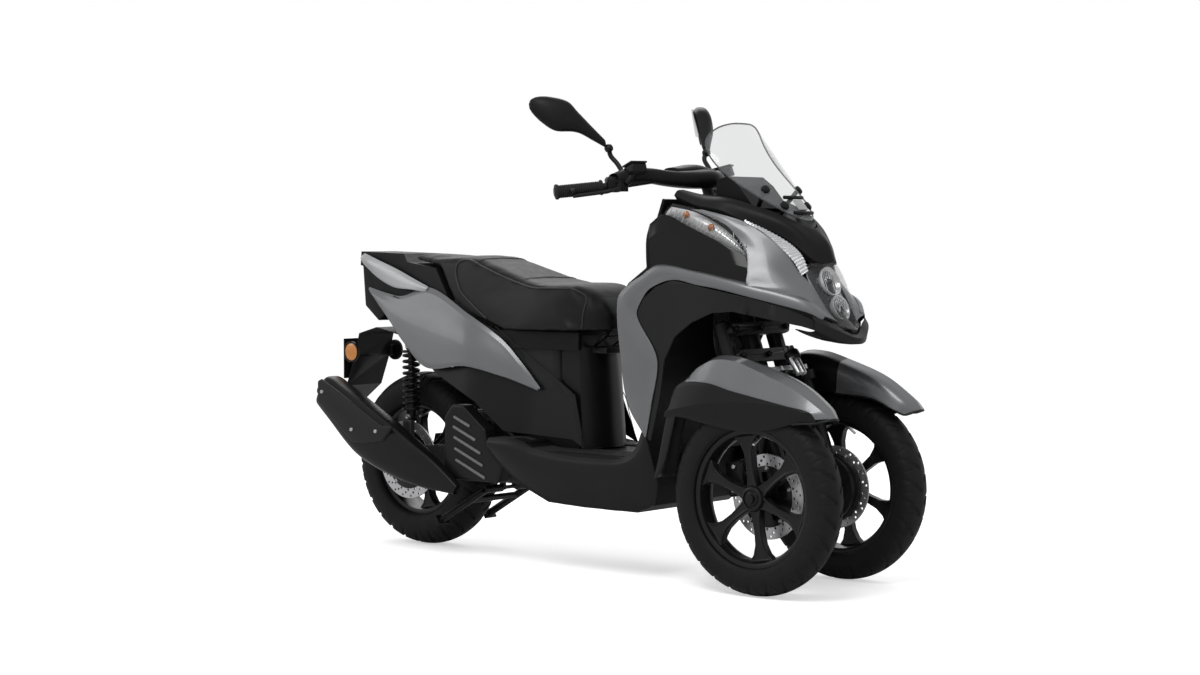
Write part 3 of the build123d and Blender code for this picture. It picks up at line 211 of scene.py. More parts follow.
PIPING = Finish("seat piping", (0.020, 0.020, 0.021), Grain.LEATHER, 0.0, 0.36, 0.02, 0.8, specular=0.35)
CLEAR = Finish("clear lens", (0.05, 0.05, 0.052), Grain.POLISHED, 0.0, 0.04, 0.0, 4.0, 0.0, alpha=0.14,
               specular=1.0)
SCREEN = Finish("clear screen", (0.30, 0.31, 0.32), Grain.POLISHED, 0.0, 0.03, 0.0, 4.0, 0.0, alpha=0.17,
                specular=1.0)
# Dark tint of the screen's rim tube: painted shade along the cut edge of the clear sheet.
SCREEN_EDGE_SHADE = Finish("screen edge shade", (0.06, 0.063, 0.066), Grain.POLISHED, 0.0, 0.12, 0.002, 3.0, 0.1,
                     alpha=0.8)
AMBER = Finish("amber lamp", (0.60, 0.21, 0.06), Grain.POLISHED, 0.0, 0.22, 0.05, 2.5, 0.15, 0.4)
REFLECTOR = Finish("amber reflector", (0.50, 0.18, 0.028), Grain.POLISHED, 0.0, 0.20, 0.4, 3.0, 0.3, 0.4)
RED = Finish("red lamp", (0.30, 0.010, 0.010), Grain.POLISHED, 0.0, 0.16, 0.05, 2.5, 0.15, 0.5)
MIRROR_GLASS = Finish("mirror glass", (0.045, 0.047, 0.050), Grain.POLISHED, 1.0, 0.04, 0.0, 4.0, 0.01)
SLAT_GREY = Finish("pale grey slats", (0.11, 0.11, 0.113), Grain.MOULDED, 0.1, 0.42, 0.03, 1.0)
METER_GLASS = Finish("meter glass", (0.010, 0.012, 0.016), Grain.POLISHED, 0.0, 0.10, 0.002, 3.0, 0.1, 0.4)


# ---------------------------------------------------------------------------------------------
# Making meshes
# ---------------------------------------------------------------------------------------------
def deselect() -> None:
    """Leaves edit mode and deselects everything."""
    if bpy.context.object and bpy.context.object.mode != "OBJECT":
        bpy.ops.object.mode_set(mode="OBJECT")
    bpy.ops.object.select_all(action="DESELECT")


def activate(obj: bpy.types.Object) -> bpy.types.Object:
    """Selects one object alone and makes it active."""
    deselect()
    obj.hide_set(False)
    obj.select_set(True)
    bpy.context.view_layer.objects.active = obj
    return obj


def added(name: str) -> bpy.types.Object:
    """Names the primitive that was just added and gives it back."""
    obj = bpy.context.object
    obj.name = name
    obj.data.name = name
    return obj


def settle_place(obj: bpy.types.Object) -> bpy.types.Object:
    """Puts an object's place, turn and size into its mesh."""
    activate(obj)
    bpy.ops.object.transform_apply(location=True, rotation=True, scale=True)
    return obj


def apply_modifier(obj: bpy.types.Object, kind: str, **settings) -> bpy.types.Object:
    """Adds a modifier, sets it and applies it.

    Args:
        obj: the mesh object.
        kind: Blender's modifier type.
        **settings: the modifier's own fields.

    Returns:
        The same object.
    """
    activate(obj)
    modifier = obj.modifiers.new(kind.lower(), kind)
    for key, value in settings.items():
        setattr(modifier, key, value)
    bpy.ops.object.modifier_apply(modifier=modifier.name)
    return obj


def round_edges(obj: bpy.types.Object, width: float, segments: int = 2,
                angle: float = 32) -> bpy.types.Object:
    """Rounds the sharp edges of a mesh; width is in millimetres."""
    if width <= 0:
        return obj
    return apply_modifier(obj, "BEVEL", width=width * MM, segments=segments, limit_method="ANGLE",
                          angle_limit=radians(angle), harden_normals=False)


def smooth(obj: bpy.types.Object, angle: float = 34) -> bpy.types.Object:
    """Shades a mesh smooth except over edges sharper than the angle."""
    activate(obj)
    bpy.ops.object.shade_smooth_by_angle(angle=radians(angle), keep_sharp_edges=True)
    return obj


def outward(obj: bpy.types.Object) -> bpy.types.Object:
    """Merges doubles and turns every face of a closed mesh outwards."""
    activate(obj)
    bpy.ops.object.mode_set(mode="EDIT")
    bpy.ops.mesh.select_all(action="SELECT")
    bpy.ops.mesh.remove_doubles(threshold=0.00001)
    bpy.ops.mesh.normals_make_consistent(inside=False)
    bpy.ops.object.mode_set(mode="OBJECT")
    return obj


def dress(obj: bpy.types.Object, finish: Finish) -> bpy.types.Object:
    """Gives a mesh one finish all over."""
    obj.data.materials.clear()
    obj.data.materials.append(finish.material())
    return obj


def join(name: str, parts: Iterable[bpy.types.Object]) -> bpy.types.Object:
    """Joins meshes into one object, each keeping its finish.

    Args:
        name: the joined object's name.
        parts: the meshes.

    Returns:
        The joined object.
    """
    parts = list(parts)
    deselect()
    for part in parts:
        part.select_set(True)
    bpy.context.view_layer.objects.active = parts[0]
    if len(parts) > 1:
        bpy.ops.object.join()
    return added(name)


def vec(point: Sequence[float], side: int = 1) -> Vector:
    """Point in millimetres, mirrored by side, as a vector in metres."""
    return Vector((point[0], side * point[1], point[2])) * MM


def curve_points(points: Sequence[Vector], count: int, closed: bool = False) -> list[Vector]:
    """Evenly numbered points on a smooth line through the given ones.

    Args:
        points: the points that the line passes through.
        count: how many gaps the result has.
        closed: True where the line joins its own start.

    Returns:
        count + 1 points, or count where the line is closed.
    """
    if len(points) == 2 and not closed:
        return [points[0].lerp(points[1], i / count) for i in range(count + 1)]
    total = len(points)
    gaps = total if closed else total - 1
    lengths = [max(1e-9, (points[(i + 1) % total] - points[i]).length) for i in range(gaps)]
    whole = sum(lengths)
    result = []
    for step in range(count if closed else count + 1):
        along = whole * step / count
        index = 0
        while index < gaps - 1 and along > lengths[index]:
            along -= lengths[index]
            index += 1
        t = min(1.0, along / lengths[index])
        result.append(between(points, index, t, closed))
    return result


def between(points: Sequence[Vector], index: int, t: float, closed: bool = False) -> Vector:
    """Point on a smooth line, at share t of the gap after the point with this index."""
    total = len(points)
    b, c = points[index], points[(index + 1) % total]
    a = points[(index - 1) % total] if closed or index > 0 else b * 2 - c
    d = points[(index + 2) % total] if closed or index + 2 < total else c * 2 - b
    gap = max(1e-9, (c - b).length)
    start = (c - a) * (gap / max(gap, (b - a).length + gap))
    end = (d - b) * (gap / max(gap, (d - c).length + gap))
    t2, t3 = t * t, t * t * t
    return b * (2 * t3 - 3 * t2 + 1) + start * (t3 - 2 * t2 + t) + c * (3 * t2 - 2 * t3) + end * (t3 - t2)


def grid_of(name: str, rows: Sequence[Sequence[Vector]]) -> bpy.types.Object:
    """Sheet whose rows of points are given, made from a grid primitive.

    Args:
        name: the object's name.
        rows: rows of points, all of one length.

    Returns:
        The sheet, with no thickness.
    """
    deselect()
    tall, wide = len(rows) - 1, len(rows[0]) - 1
    bpy.ops.mesh.primitive_grid_add(x_subdivisions=wide, y_subdivisions=tall, size=1, location=(0, 0, 0))
    obj = added(name)
    if len(obj.data.vertices) != (tall + 1) * (wide + 1):
        raise ValueError(f"{name}: {len(obj.data.vertices)} points for {tall + 1} rows of {wide + 1}")
    for vertex in obj.data.vertices:
        column = round((vertex.co.x + 0.5) * wide)
        row = round((vertex.co.y + 0.5) * tall)
        vertex.co = rows[row][column]
    return obj


def sheet_rows(rails: Sequence[Sequence[Point]], along: int, across: int, side: int,
               ridges: Sequence[int]) -> list[list[Vector]]:
    """Rows of points over a surface that passes through rails.

    Args:
        rails: lines of points in millimetres, one point for each station.
        along: gaps along each rail.
        across: gaps from one rail to the next.
        side: sign of y.
        ridges: indexes of the rails where the surface has a sharp fold.

    Returns:
        The rows, rail by rail.
    """
    spots = [[vec(p, side) for p in rail] for rail in rails]
    gaps = len(spots[0]) - 1
    lengths = [sum((rail[i + 1] - rail[i]).length for rail in spots) + 1e-9 for i in range(gaps)]
    whole = sum(lengths)
    lines: list[list[Vector]] = [[] for _ in spots]
    for step in range(along + 1):
        left, index = whole * step / along, 0
        while index < gaps - 1 and left > lengths[index]:
            left -= lengths[index]
            index += 1
        for line, rail in zip(lines, spots):
            line.append(between(rail, index, min(1.0, left / lengths[index])))
    rows: list[list[Vector]] = [lines[0]]
    for gap in range(len(lines) - 1):
        first = gap if gap in ridges or gap == 0 else gap - 1
        last = gap + 1 if gap + 1 in ridges or gap + 2 >= len(lines) else gap + 2
        for step in range(1, across + 1):
            cuts = ([line[column] for line in lines[first:last + 1]] for column in range(along + 1))
            rows.append([between(cut, gap - first, step / across) for cut in cuts])
    return rows


def skin(name: str, rails: Sequence[Sequence[Point]], finish: Finish, side: int = 1, along: int = 36,
         across: int = 5, wall: float = 3.0, edge: float = 1.0, facing: Point = (0, 1, 0),
         ridges: Sequence[int] = ()) -> bpy.types.Object:
    """Moulded panel through rails of points, with a wall thickness and rounded edges.

    Args:
        name: the piece's name.
        rails: lines of points in millimetres, drawn on the left side.
        finish: its finish.
        side: sign of y; -1 draws it on the right.
        along: gaps along the rails.
        across: gaps between two rails.
        wall: thickness in millimetres, put on behind the face.
        edge: radius of the rounded edges.
        facing: rough direction that the outer face looks in.
        ridges: rails with a sharp fold.

    Returns:
        The panel.
    """
    obj = grid_of(name, sheet_rows(rails, along, across, side, ridges))
    want = Vector((facing[0], facing[1] * side, facing[2]))
    total = Vector((0, 0, 0))
    for face in obj.data.polygons:
        total += face.normal * face.area
    if total.dot(want) < 0:
        obj.data.flip_normals()
    if ridges:
        wide = along + 1
        rows = {rail * across for rail in ridges}
        for item in obj.data.edges:
            a, b = item.vertices
            if a // wide == b // wide and a // wide in rows:
                item.use_edge_sharp = True
    if wall:
        apply_modifier(obj, "SOLIDIFY", thickness=wall * MM, offset=-1, use_even_offset=False)
        round_edges(obj, edge, 2, 50)
    return smooth(dress(obj, finish), 50)


def tube(name: str, points: Sequence[Point], radius: float, finish: Finish, side: int = 1, count: int = 24,
         closed: bool = False, straight: bool = False, sides: int = 4) -> bpy.types.Object:
    """Round bar along points.

    Args:
        name: the piece's name.
        points: its centre line in millimetres.
        radius: in millimetres.
        finish: its finish.
        side: sign of y.
        count: gaps along it.
        closed: True for a ring.
        straight: True where it runs straight from point to point.
        sides: quarter facets of the round section.

    Returns:
        The bar, as a mesh.
    """
    spots = [vec(p, side) for p in points]
    line = spots if straight else curve_points(spots, count, closed)
    curve = bpy.data.curves.new(name, "CURVE")
    curve.dimensions = "3D"
    spline = curve.splines.new("POLY")
    spline.points.add(len(line) - 1)
    for target, spot in zip(spline.points, line):
        target.co = (*spot, 1)
    spline.use_cyclic_u = closed
    curve.bevel_depth = radius * MM
    curve.bevel_resolution = sides
    curve.use_fill_caps = not closed
    obj = bpy.data.objects.new(name, curve)
    bpy.context.scene.collection.objects.link(obj)
    activate(obj)
    bpy.ops.object.convert(target="MESH")
    obj = outward(added(name))
    return smooth(dress(obj, finish), 40)


def loft(name: str, sections: Sequence[tuple[Point, Point, Point]], finish: Finish, facets: int = 36,
         smooth_steps: int = 6, side: int = 1, squareness: float = 0.8) -> bpy.types.Object:
    """Closed body through oval sections.

    Args:
        name: the piece's name.
        sections: middle and the two half axes of each oval, in millimetres.
        finish: its finish.
        facets: sides of each oval.
        smooth_steps: rows put between two sections.
        side: sign of y.
        squareness: 1 for an ellipse, less for a squarer oval.

    Returns:
        The body, with rounded ends.
    """
    rails = []
    for index in range(facets + 1):
        angle = 2 * pi * (index % facets) / facets
        c, s = cos(angle), sin(angle)
        c, s = abs(c) ** squareness * (1 if c > 0 else -1), abs(s) ** squareness * (1 if s > 0 else -1)
        rails.append([tuple(m + u * c + v * s for m, u, v in zip(*section)) for section in sections])
    spots = [[vec(p, side) for p in rail] for rail in rails]
    count = (len(sections) - 1) * smooth_steps
    rows = []
    for step in range(count + 1):
        index = min(len(sections) - 2, step // smooth_steps)
        share = step / smooth_steps - index
        rows.append([between(rail, index, share) for rail in spots])
    for end, place in ((0, 0), (len(rows) - 1, -1)):
        middle = sum(rows[end][:-1], Vector()) / facets
        ring = [middle + (p - middle) * 0.55 for p in rows[end]]
        tip = [middle.copy() for _ in rows[end]]
        rows = [tip, ring, *rows] if place == 0 else [*rows, ring, tip]
    obj = outward(grid_of(name, rows))
    return smooth(dress(obj, finish), 60)


def both_sides(line: Sequence[Point]) -> list[Point]:
    """Line that runs on to the other side after its last point, which lies in the middle."""
    return [*line, *[(x, -y, z) for x, y, z in reversed(line[:-1])]]


def turned(name: str, profile: Sequence[Flat], centre: Point, axis: Point, finish: Finish,
           steps: int = 64) -> bpy.types.Object:
    """Round piece made by spinning a closed profile.

    Args:
        name: the piece's name.
        profile: (radius, distance along the axis) in millimetres.
        centre: the axis passes through here.
        axis: its direction.
        finish: its finish.
        steps: facets round it.

    Returns:
        The turned mesh, faces outwards.
    """
    direction = Vector(axis).normalized()
    across = direction.orthogonal().normalized()
    middle = vec(centre)
    mesh = bpy.data.meshes.new(name)
    spots = [middle + across * (r * MM) + direction * (d * MM) for r, d in profile]
    pairs = [(i, (i + 1) % len(spots)) for i in range(len(spots))]
    mesh.from_pydata(spots, pairs, [])
    obj = bpy.data.objects.new(name, mesh)
    bpy.context.scene.collection.objects.link(obj)
    activate(obj)
    bpy.ops.object.mode_set(mode="EDIT")
    bpy.ops.mesh.select_all(action="SELECT")
    bpy.ops.mesh.spin(steps=steps, angle=2 * pi, center=middle, axis=direction)
    bpy.ops.object.mode_set(mode="OBJECT")
    return smooth(dress(outward(obj), finish), 36)


def rod(name: str, start: Point, end: Point, radius: float, finish: Finish, edge: float = 1.0,
        facets: int = 24) -> bpy.types.Object:
    """Straight round bar between two points, with rounded ends.

    Args:
        name: the piece's name.
        start: one end, in millimetres.
        end: the other end.
        radius: in millimetres.
        finish: its finish.
        edge: radius of the rounded rims.
        facets: sides of the bar.

    Returns:
        The bar.
    """
    a, b = vec(start), vec(end)
    deselect()
    turn = (b - a).to_track_quat("Z", "Y").to_euler()
    bpy.ops.mesh.primitive_cone_add(vertices=facets, radius1=radius * MM, radius2=radius * MM,
                                    depth=(b - a).length, location=(a + b) / 2, rotation=turn)
    obj = settle_place(added(name))
    round_edges(obj, edge, 2, 40)
    return smooth(dress(obj, finish))


def block(name: str, middle: Point, size: Point, finish: Finish, edge: float = 2.0,
          turn: Point = (0, 0, 0), taper: Flat = (1.0, 1.0), segments: int = 3) -> bpy.types.Object:
    """Rounded block, narrowed towards its top.

    Args:
        name: the piece's name.
        middle: its centre in millimetres.
        size: length, width and height.
        finish: its finish.
        edge: radius of its edges.
        turn: turns about x, y and z in degrees.
        taper: shares of length and width that are left at the top.
        segments: facets of each rounded edge.

    Returns:
        The block.
    """
    deselect()
    bpy.ops.mesh.primitive_cube_add(size=1)
    obj = added(name)
    for vertex in obj.data.vertices:
        if vertex.co.z > 0:
            vertex.co.x *= taper[0]
            vertex.co.y *= taper[1]
    obj.scale = [value * MM for value in size]
    obj.rotation_euler = [radians(value) for value in turn]
    obj.location = vec(middle)
    settle_place(obj)
    round_edges(obj, edge, segments)
    return smooth(dress(obj, finish))


def prism(name: str, outline: Sequence[Flat], low: float, high: float, finish: Finish, edge: float = 3.0,
          draw: float = 1.0, segments: int = 3) -> bpy.types.Object:
    """Solid with a side outline, standing across the vehicle.

    Args:
        name: the piece's name.
        outline: (x, z) points in millimetres.
        low: y of one face.
        high: y of the other face, which is drawn in.
        finish: its finish.
        edge: radius of its edges.
        draw: share of the outline that is left at the high face.
        segments: facets of each rounded edge.

    Returns:
        The solid.
    """
    mesh = bpy.data.meshes.new(name)
    mesh.from_pydata([vec((x, low, z)) for x, z in outline], [], [list(range(len(outline)))])
    obj = bpy.data.objects.new(name, mesh)
    bpy.context.scene.collection.objects.link(obj)
    activate(obj)
    bpy.ops.object.mode_set(mode="EDIT")
    bpy.ops.mesh.select_all(action="SELECT")
    bpy.ops.mesh.extrude_region_move(TRANSFORM_OT_translate={"value": (0, (high - low) * MM, 0)})
    if draw != 1.0:
        middle = sum((vec((x, high, z)) for x, z in outline), Vector()) / len(outline)
        bpy.ops.transform.resize(value=(draw, 1, draw), center_override=middle)
    bpy.ops.object.mode_set(mode="OBJECT")
    outward(obj)
    round_edges(obj, edge, segments)
    return smooth(dress(obj, finish))


def bolt(name: str, spot: Point, axis: Point, radius: float = 6.0,
         finish: Finish = BARE_METAL) -> bpy.types.Object:
    """Socket bolt head standing on a surface."""
    profile = ((0, 0.6 * radius), (0.45 * radius, 0.6 * radius), (0.5 * radius, 0.9 * radius),
               (0.85 * radius, 0.85 * radius), (radius, 0.6 * radius), (radius, -1), (0, -1))
    return turned(name, profile, spot, axis, finish, 12)


def pierced(obj: bpy.types.Object, cutters: Sequence[bpy.types.Object]) -> bpy.types.Object:
    """Cuts holes through a mesh; the cutters are used up."""
    tool = join("cutter", cutters)
    apply_modifier(obj, "BOOLEAN", operation="DIFFERENCE", solver="EXACT", object=tool)
    bpy.data.objects.remove(tool)
    return obj


def place_piece(obj: bpy.types.Object, body: str,
                replaces: Sequence[str] = ()) -> bpy.types.Object:
    """Hands a finished piece to the frame.

    Args:
        obj: the piece.
        body: the body that it rides on.
        replaces: CAD nodes that it stands for.

    Returns:
        The same piece.
    """
    settle_place(obj)
    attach(obj, body)
    if replaces:
        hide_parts(*replaces)
    LOG.info("%s rides on %s with %d faces", obj.name, body, len(obj.data.polygons))
    return obj


def recast(node: str, finish: Finish) -> bpy.types.Object:
    """Smooth copy of a CAD node's shape, to be finished and detailed.

    Args:
        node: the node's name.
        finish: its finish.

    Returns:
        The copy, its doubles merged and its faces outwards.
    """
    obj = bpy.data.objects.new(node + "_finished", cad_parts[node].data.copy())
    bpy.context.scene.collection.objects.link(obj)
    outward(obj)
    bpy.ops.object.mode_set(mode="EDIT")
    bpy.ops.mesh.select_all(action="SELECT")
    bpy.ops.mesh.dissolve_limited(angle_limit=radians(0.5))
    bpy.ops.object.mode_set(mode="OBJECT")
    return smooth(dress(obj, finish), 36)


def place_recast(node: str, finish: Finish, body: str) -> bpy.types.Object:
    """Finishes a CAD node's own shape and hands it to the frame in the node's place."""
    return place_piece(recast(node, finish), body, [node])


def softened(node: str, finish: Finish, voxel: float = 5.0, rounds: int = 6) -> bpy.types.Object:
    """Smooth copy of a thick CAD node with all its edges rounded.

    Args:
        node: the node's name.
        finish: its finish.
        voxel: size of the even mesh in millimetres.
        rounds: how far the edges are rounded.

    Returns:
        The copy.
    """
    obj = recast(node, finish)
    apply_modifier(obj, "REMESH", mode="VOXEL", voxel_size=voxel * MM)
    apply_modifier(obj, "SMOOTH", factor=0.5, iterations=rounds)
    return smooth(dress(obj, finish), 50)


def repaint(obj: bpy.types.Object, finish: Finish,
            test: Callable[[Vector, Vector], bool]) -> bpy.types.Object:
    """Gives another finish to some faces.

    Args:
        obj: the mesh.
        finish: the other finish.
        test: tells by a face's middle, in millimetres, and its normal whether it takes it.

    Returns:
        The same mesh.
    """
    obj.data.materials.append(finish.material())
    index = len(obj.data.materials) - 1
    for face in obj.data.polygons:
        if test(face.center / MM, face.normal):
            face.material_index = index
    return obj


def moved(obj: bpy.types.Object, shift: Callable[[Point], Point], levels: int = 0) -> bpy.types.Object:
    """Moves a piece's vertices by a rule given in millimetres.

    Args:
        obj: the piece.
        shift: gives the new place of a point.
        levels: plain subdivisions made first.

    Returns:
        The same piece.
    """
    if levels:
        apply_modifier(obj, "TRIANGULATE")
        apply_modifier(obj, "SUBSURF", subdivision_type="SIMPLE", levels=levels, render_levels=levels)
    for vertex in obj.data.vertices:
        vertex.co = Vector(shift(tuple(vertex.co / MM))) * MM
    obj.data.update()
    return obj


def ring_of(obj: bpy.types.Object, count: int, centre: Point) -> list[bpy.types.Object]:
    """Copies a mesh round an axle.

    Args:
        obj: the first of them.
        count: how many there are in the ring.
        centre: the axle passes through here, in millimetres.

    Returns:
        All of them, the first one included.
    """
    middle, result = vec(centre), [obj]
    for index in range(1, count):
        activate(obj)
        bpy.ops.object.duplicate()
        twin = bpy.context.object
        turn = Matrix.Rotation(2 * pi * index / count, 4, Vector((0, 1, 0)))
        twin.data.transform(Matrix.Translation(middle) @ turn @ Matrix.Translation(-middle))
        result.append(twin)
    return result


# ---------------------------------------------------------------------------------------------
# Wheels, forks and fenders
# ---------------------------------------------------------------------------------------------
FRONT_AXLE: Point = (740.0, 192.5, 250.0)
REAR_AXLE: Point = (-610.0, 0.0, 256.0)
RAKE = radians(20)


def steer_x(z: float) -> float:
    """Place along the vehicle of the raked steering axis at a height."""
    return 717.0 - (z - 250.0) * sin(RAKE) / cos(RAKE)


@dataclass
class Tyre:
    """Tubeless tyre with slanted shoulder grooves."""

    name: str
    centre: Point
    radius: float
    width: float
    bead: float
    lugs: int
    depth: float = 4.0
    steps: int = 560
    around: int = 52

    def section(self) -> list[Flat]:
        """Points of the section: radius and distance across, bead to bead."""
        shares = ((0, 0.80), (0.10, 0.95), (0.36, 1.0), (0.64, 0.95), (0.81, 0.79), (0.93, 0.50), (1.0, 0.0))
        height, half = self.radius - self.bead, self.width / 2
        near = [Vector((self.bead + height * h, -half * w, 0)) for h, w in shares]
        far = [Vector((v.x, -v.y, 0)) for v in reversed(near[:-1])]
        return [(v.x, v.y) for v in curve_points(near + far, self.around)]

    def groove(self, angle: float, across: float, radius: float) -> float:
        """Depth of the tread pattern at one point, in millimetres."""
        share = abs(across) / (self.width / 2)
        if radius < self.bead + 0.5 * (self.radius - self.bead) or not 0.10 < share < 0.985:
            return 0.0
        start = 0.0 if across > 0 else 0.5
        phase = (self.lugs * angle / (2 * pi) + 0.75 * share + start) % 1.0
        second = (2 * self.lugs * angle / (2 * pi) - 0.5 * share + start) % 1.0
        deep = self.depth if phase < 0.17 else 0.0
        if share > 0.62 and second < 0.16:
            deep = max(deep, 0.6 * self.depth)
        return deep

    def build(self) -> bpy.types.Object:
        """Builds the tyre and gives it back."""
        section = self.section()
        rows = []
        for step in range(self.steps + 1):
            angle = 2 * pi * (step % self.steps) / self.steps
            row = []
            for radius, across in section + section[:1]:
                reach = radius - self.groove(angle, across, radius)
                row.append(vec((self.centre[0] + reach * sin(angle), self.centre[1] + across,
                                self.centre[2] + reach * cos(angle))))
            rows.append(row)
        obj = outward(grid_of(self.name, rows))
        return smooth(dress(obj, TYRE), 38)


@dataclass
class Rim:
    """Cast wheel with flaring spokes and a turned barrel."""

    name: str
    centre: Point
    bead: float
    width: float
    hub: tuple[float, float]
    hub_radius: float = 34.0
    spokes: int = 6
    spoke_at: float = 8.0
    spoke_depth: float = 22.0
    side: int = 1

    def barrel(self) -> bpy.types.Object:
        """Ring that the tyre sits on, with its lips."""
        r, h = self.bead - 0.4, self.width / 2
        profile = ((r, -h), (r, -h + 5), (r - 7, -h + 9), (r - 12, -h * 0.4), (r - 13, 0), (r - 12, h * 0.4),
                   (r - 7, h - 9), (r, h - 5), (r, h), (r - 6, h + 0.5), (r - 13, h - 3), (r - 18, h * 0.5),
                   (r - 21, 0), (r - 18, -h * 0.5), (r - 13, -h + 3), (r - 6, -h - 0.5))
        return turned("barrel", profile, self.centre, (0, 1, 0), WHEEL_BLACK, 120)

    def spoke(self) -> bpy.types.Object:
        """One spoke, waisted in the middle, with a groove down its face."""
        x, y, z = self.centre
        near, far = self.hub_radius - 8, self.bead - 17
        span = far - near
        half = ((0.0, 17), (0.16, 13), (0.42, 10.5), (0.68, 13), (0.86, 22), (1.0, 40))
        outline = [(x + w, z + near + span * v) for v, w in half]
        outline += [(x - w, z + near + span * v) for v, w in reversed(half)]
        start = y + self.side * (self.spoke_at - self.spoke_depth / 2)
        obj = prism("spoke", outline, start, start + self.side * self.spoke_depth, WHEEL_BLACK, 0)
        activate(obj)
        for face in obj.data.polygons:
            face.select = face.normal.y * self.side > 0.9
        bpy.ops.object.mode_set(mode="EDIT")
        bpy.ops.mesh.select_mode(type="FACE")
        bpy.ops.mesh.inset(thickness=3.4 * MM)
        bpy.ops.transform.translate(value=(0, self.side * 3.0 * MM, 0))
        bpy.ops.mesh.inset(thickness=3.0 * MM)
        bpy.ops.transform.translate(value=(0, -self.side * 3.2 * MM, 0))
        bpy.ops.object.mode_set(mode="OBJECT")
        round_edges(obj, 2.0, 2, 25)
        return smooth(obj, 45)

    def middle(self) -> list[bpy.types.Object]:
        """Hub, its cap and the axle nut."""
        x, y, z = self.centre
        low, high = self.hub
        r = self.hub_radius
        profile = ((0, low), (r - 6, low), (r - 3, low + 3), (r - 5, 0), (r - 1, self.spoke_at - 8),
                   (r, high - 10), (r - 4, high - 3), (r - 9, high - 1), (r - 10, high - 5), (0, high - 5))
        centre, axis = (x, y, z), (0, self.side, 0)
        cap = ((0, high + 1), (r * 0.40, high), (r * 0.55, high - 2.5), (r * 0.60, high - 6), (0, high - 6))
        return [turned("hub", profile, centre, axis, WHEEL_BLACK, 48),
                turned("cap", cap, centre, axis, BODY_BLACK, 32)]

    def build(self) -> bpy.types.Object:
        """Builds the rim and gives it back."""
        first = self.spoke()
        turn = Matrix.Rotation(radians(-9), 4, (0, 1, 0))
        middle = vec(self.centre)
        first.data.transform(Matrix.Translation(middle) @ turn @ Matrix.Translation(-middle))
        spokes = ring_of(first, self.spokes, self.centre)
        x, y, z = self.centre
        foot = (x + 12, y + self.side * 6, z + self.bead - 22)
        tip = (x + 12, y + self.side * (self.width / 2 + 6), z + self.bead - 40)
        valve = rod("valve", foot, tip, 4, BARE_METAL, 0.8, 12)
        return join(self.name, [self.barrel(), *spokes, *self.middle(), valve])


@dataclass
class BrakeDisc:
    """Drilled brake disc on its black carrier."""

    name: str
    centre: Point
    radius: float
    side: int
    band: float = 36.0
    thick: float = 4.0
    hub_radius: float = 30.0

    def build(self) -> bpy.types.Object:
        """Builds the disc with its carrier and bolts."""
        x, y, z = self.centre
        r, inner, half = self.radius, self.radius - self.band, self.thick / 2
        ring = turned("disc", ((inner, -half), (r - 1, -half), (r, -half + 1), (r, half - 1), (r - 1, half),
                               (inner, half)), self.centre, (0, 1, 0), DISC_STEEL, 96)
        drills = []
        for share, start in ((0.26, 0.0), (0.52, 0.33), (0.78, 0.66)):
            reach, turn = inner + self.band * share, 2 * pi * (start / 20)
            spot = (x + reach * sin(turn), y, z + reach * cos(turn))
            drill = rod("drill", (spot[0], y - 6, spot[2]), (spot[0], y + 6, spot[2]), 3.4, DISC_STEEL, 0, 10)
            drills += ring_of(drill, 20, self.centre)
        pierced(ring, drills)
        carrier = turned("carrier", ((self.hub_radius - 4, -4), (inner + 2, -3), (inner + 5, -1.5),
                                     (inner + 5, 1.5), (inner - 6, 4), (self.hub_radius - 4, 6)),
                         (x, y + self.side, z), (0, self.side, 0), WHEEL_BLACK, 60)
        window = prism("window", [(x - 11, z + self.hub_radius + 9), (x + 11, z + self.hub_radius + 9),
                                  (x + 17, z + inner - 11), (x - 17, z + inner - 11)], y - 14, y + 14,
                       WHEEL_BLACK, 3, 1.0, 2)
        pierced(carrier, ring_of(window, 5, self.centre))
        stud = bolt("stud", (x, y + self.side * 2.5, z + inner - 1), (0, self.side, 0), 5.5)
        studs = ring_of(stud, 5, self.centre)
        return join(self.name, [smooth(ring, 30), smooth(carrier, 30), *studs])


@dataclass
class Wheels:
    """The three wheels with their tyres and discs."""

    front_disc_at: float = 150.0
    rear_disc_at: float = -88.0

    def build(self) -> None:
        """Builds each wheel on its own body."""
        for side in Side:
            s, body = side.value, f"{side.word}_front_wheel"
            centre = (FRONT_AXLE[0], s * FRONT_AXLE[1], FRONT_AXLE[2])
            tyre = Tyre(f"{side.word}_tyre_with_tread", centre, 250, 90, 178, 26).build()
            place_piece(tyre, body, [f"front_{side.word}_tyre"])
            rim = Rim(f"{side.word}_cast_rim", centre, 178, 60, (-38.5, 30), side=s).build()
            place_piece(rim, body, [f"front_{side.word}_rim"])
            disc = BrakeDisc(f"{side.word}_drilled_disc", (centre[0], s * self.front_disc_at, centre[2]),
                             110, s).build()
            place_piece(disc, body)
        tyre = Tyre("rear_tyre_with_tread", REAR_AXLE, 256, 130, 165, 26, 5.0).build()
        place_piece(tyre, "rear_wheel", ["rear_tyre"])
        rim = Rim("rear_cast_rim", REAR_AXLE, 165, 90, (-62, 82), 46, 6, 14, 26, -1).build()
        place_piece(rim, "rear_wheel", ["rear_rim"])
        disc = BrakeDisc("rear_drilled_disc", (-610, self.rear_disc_at, 256), 115, -1, 34, 5, 40).build()
        place_piece(disc, "rear_wheel")


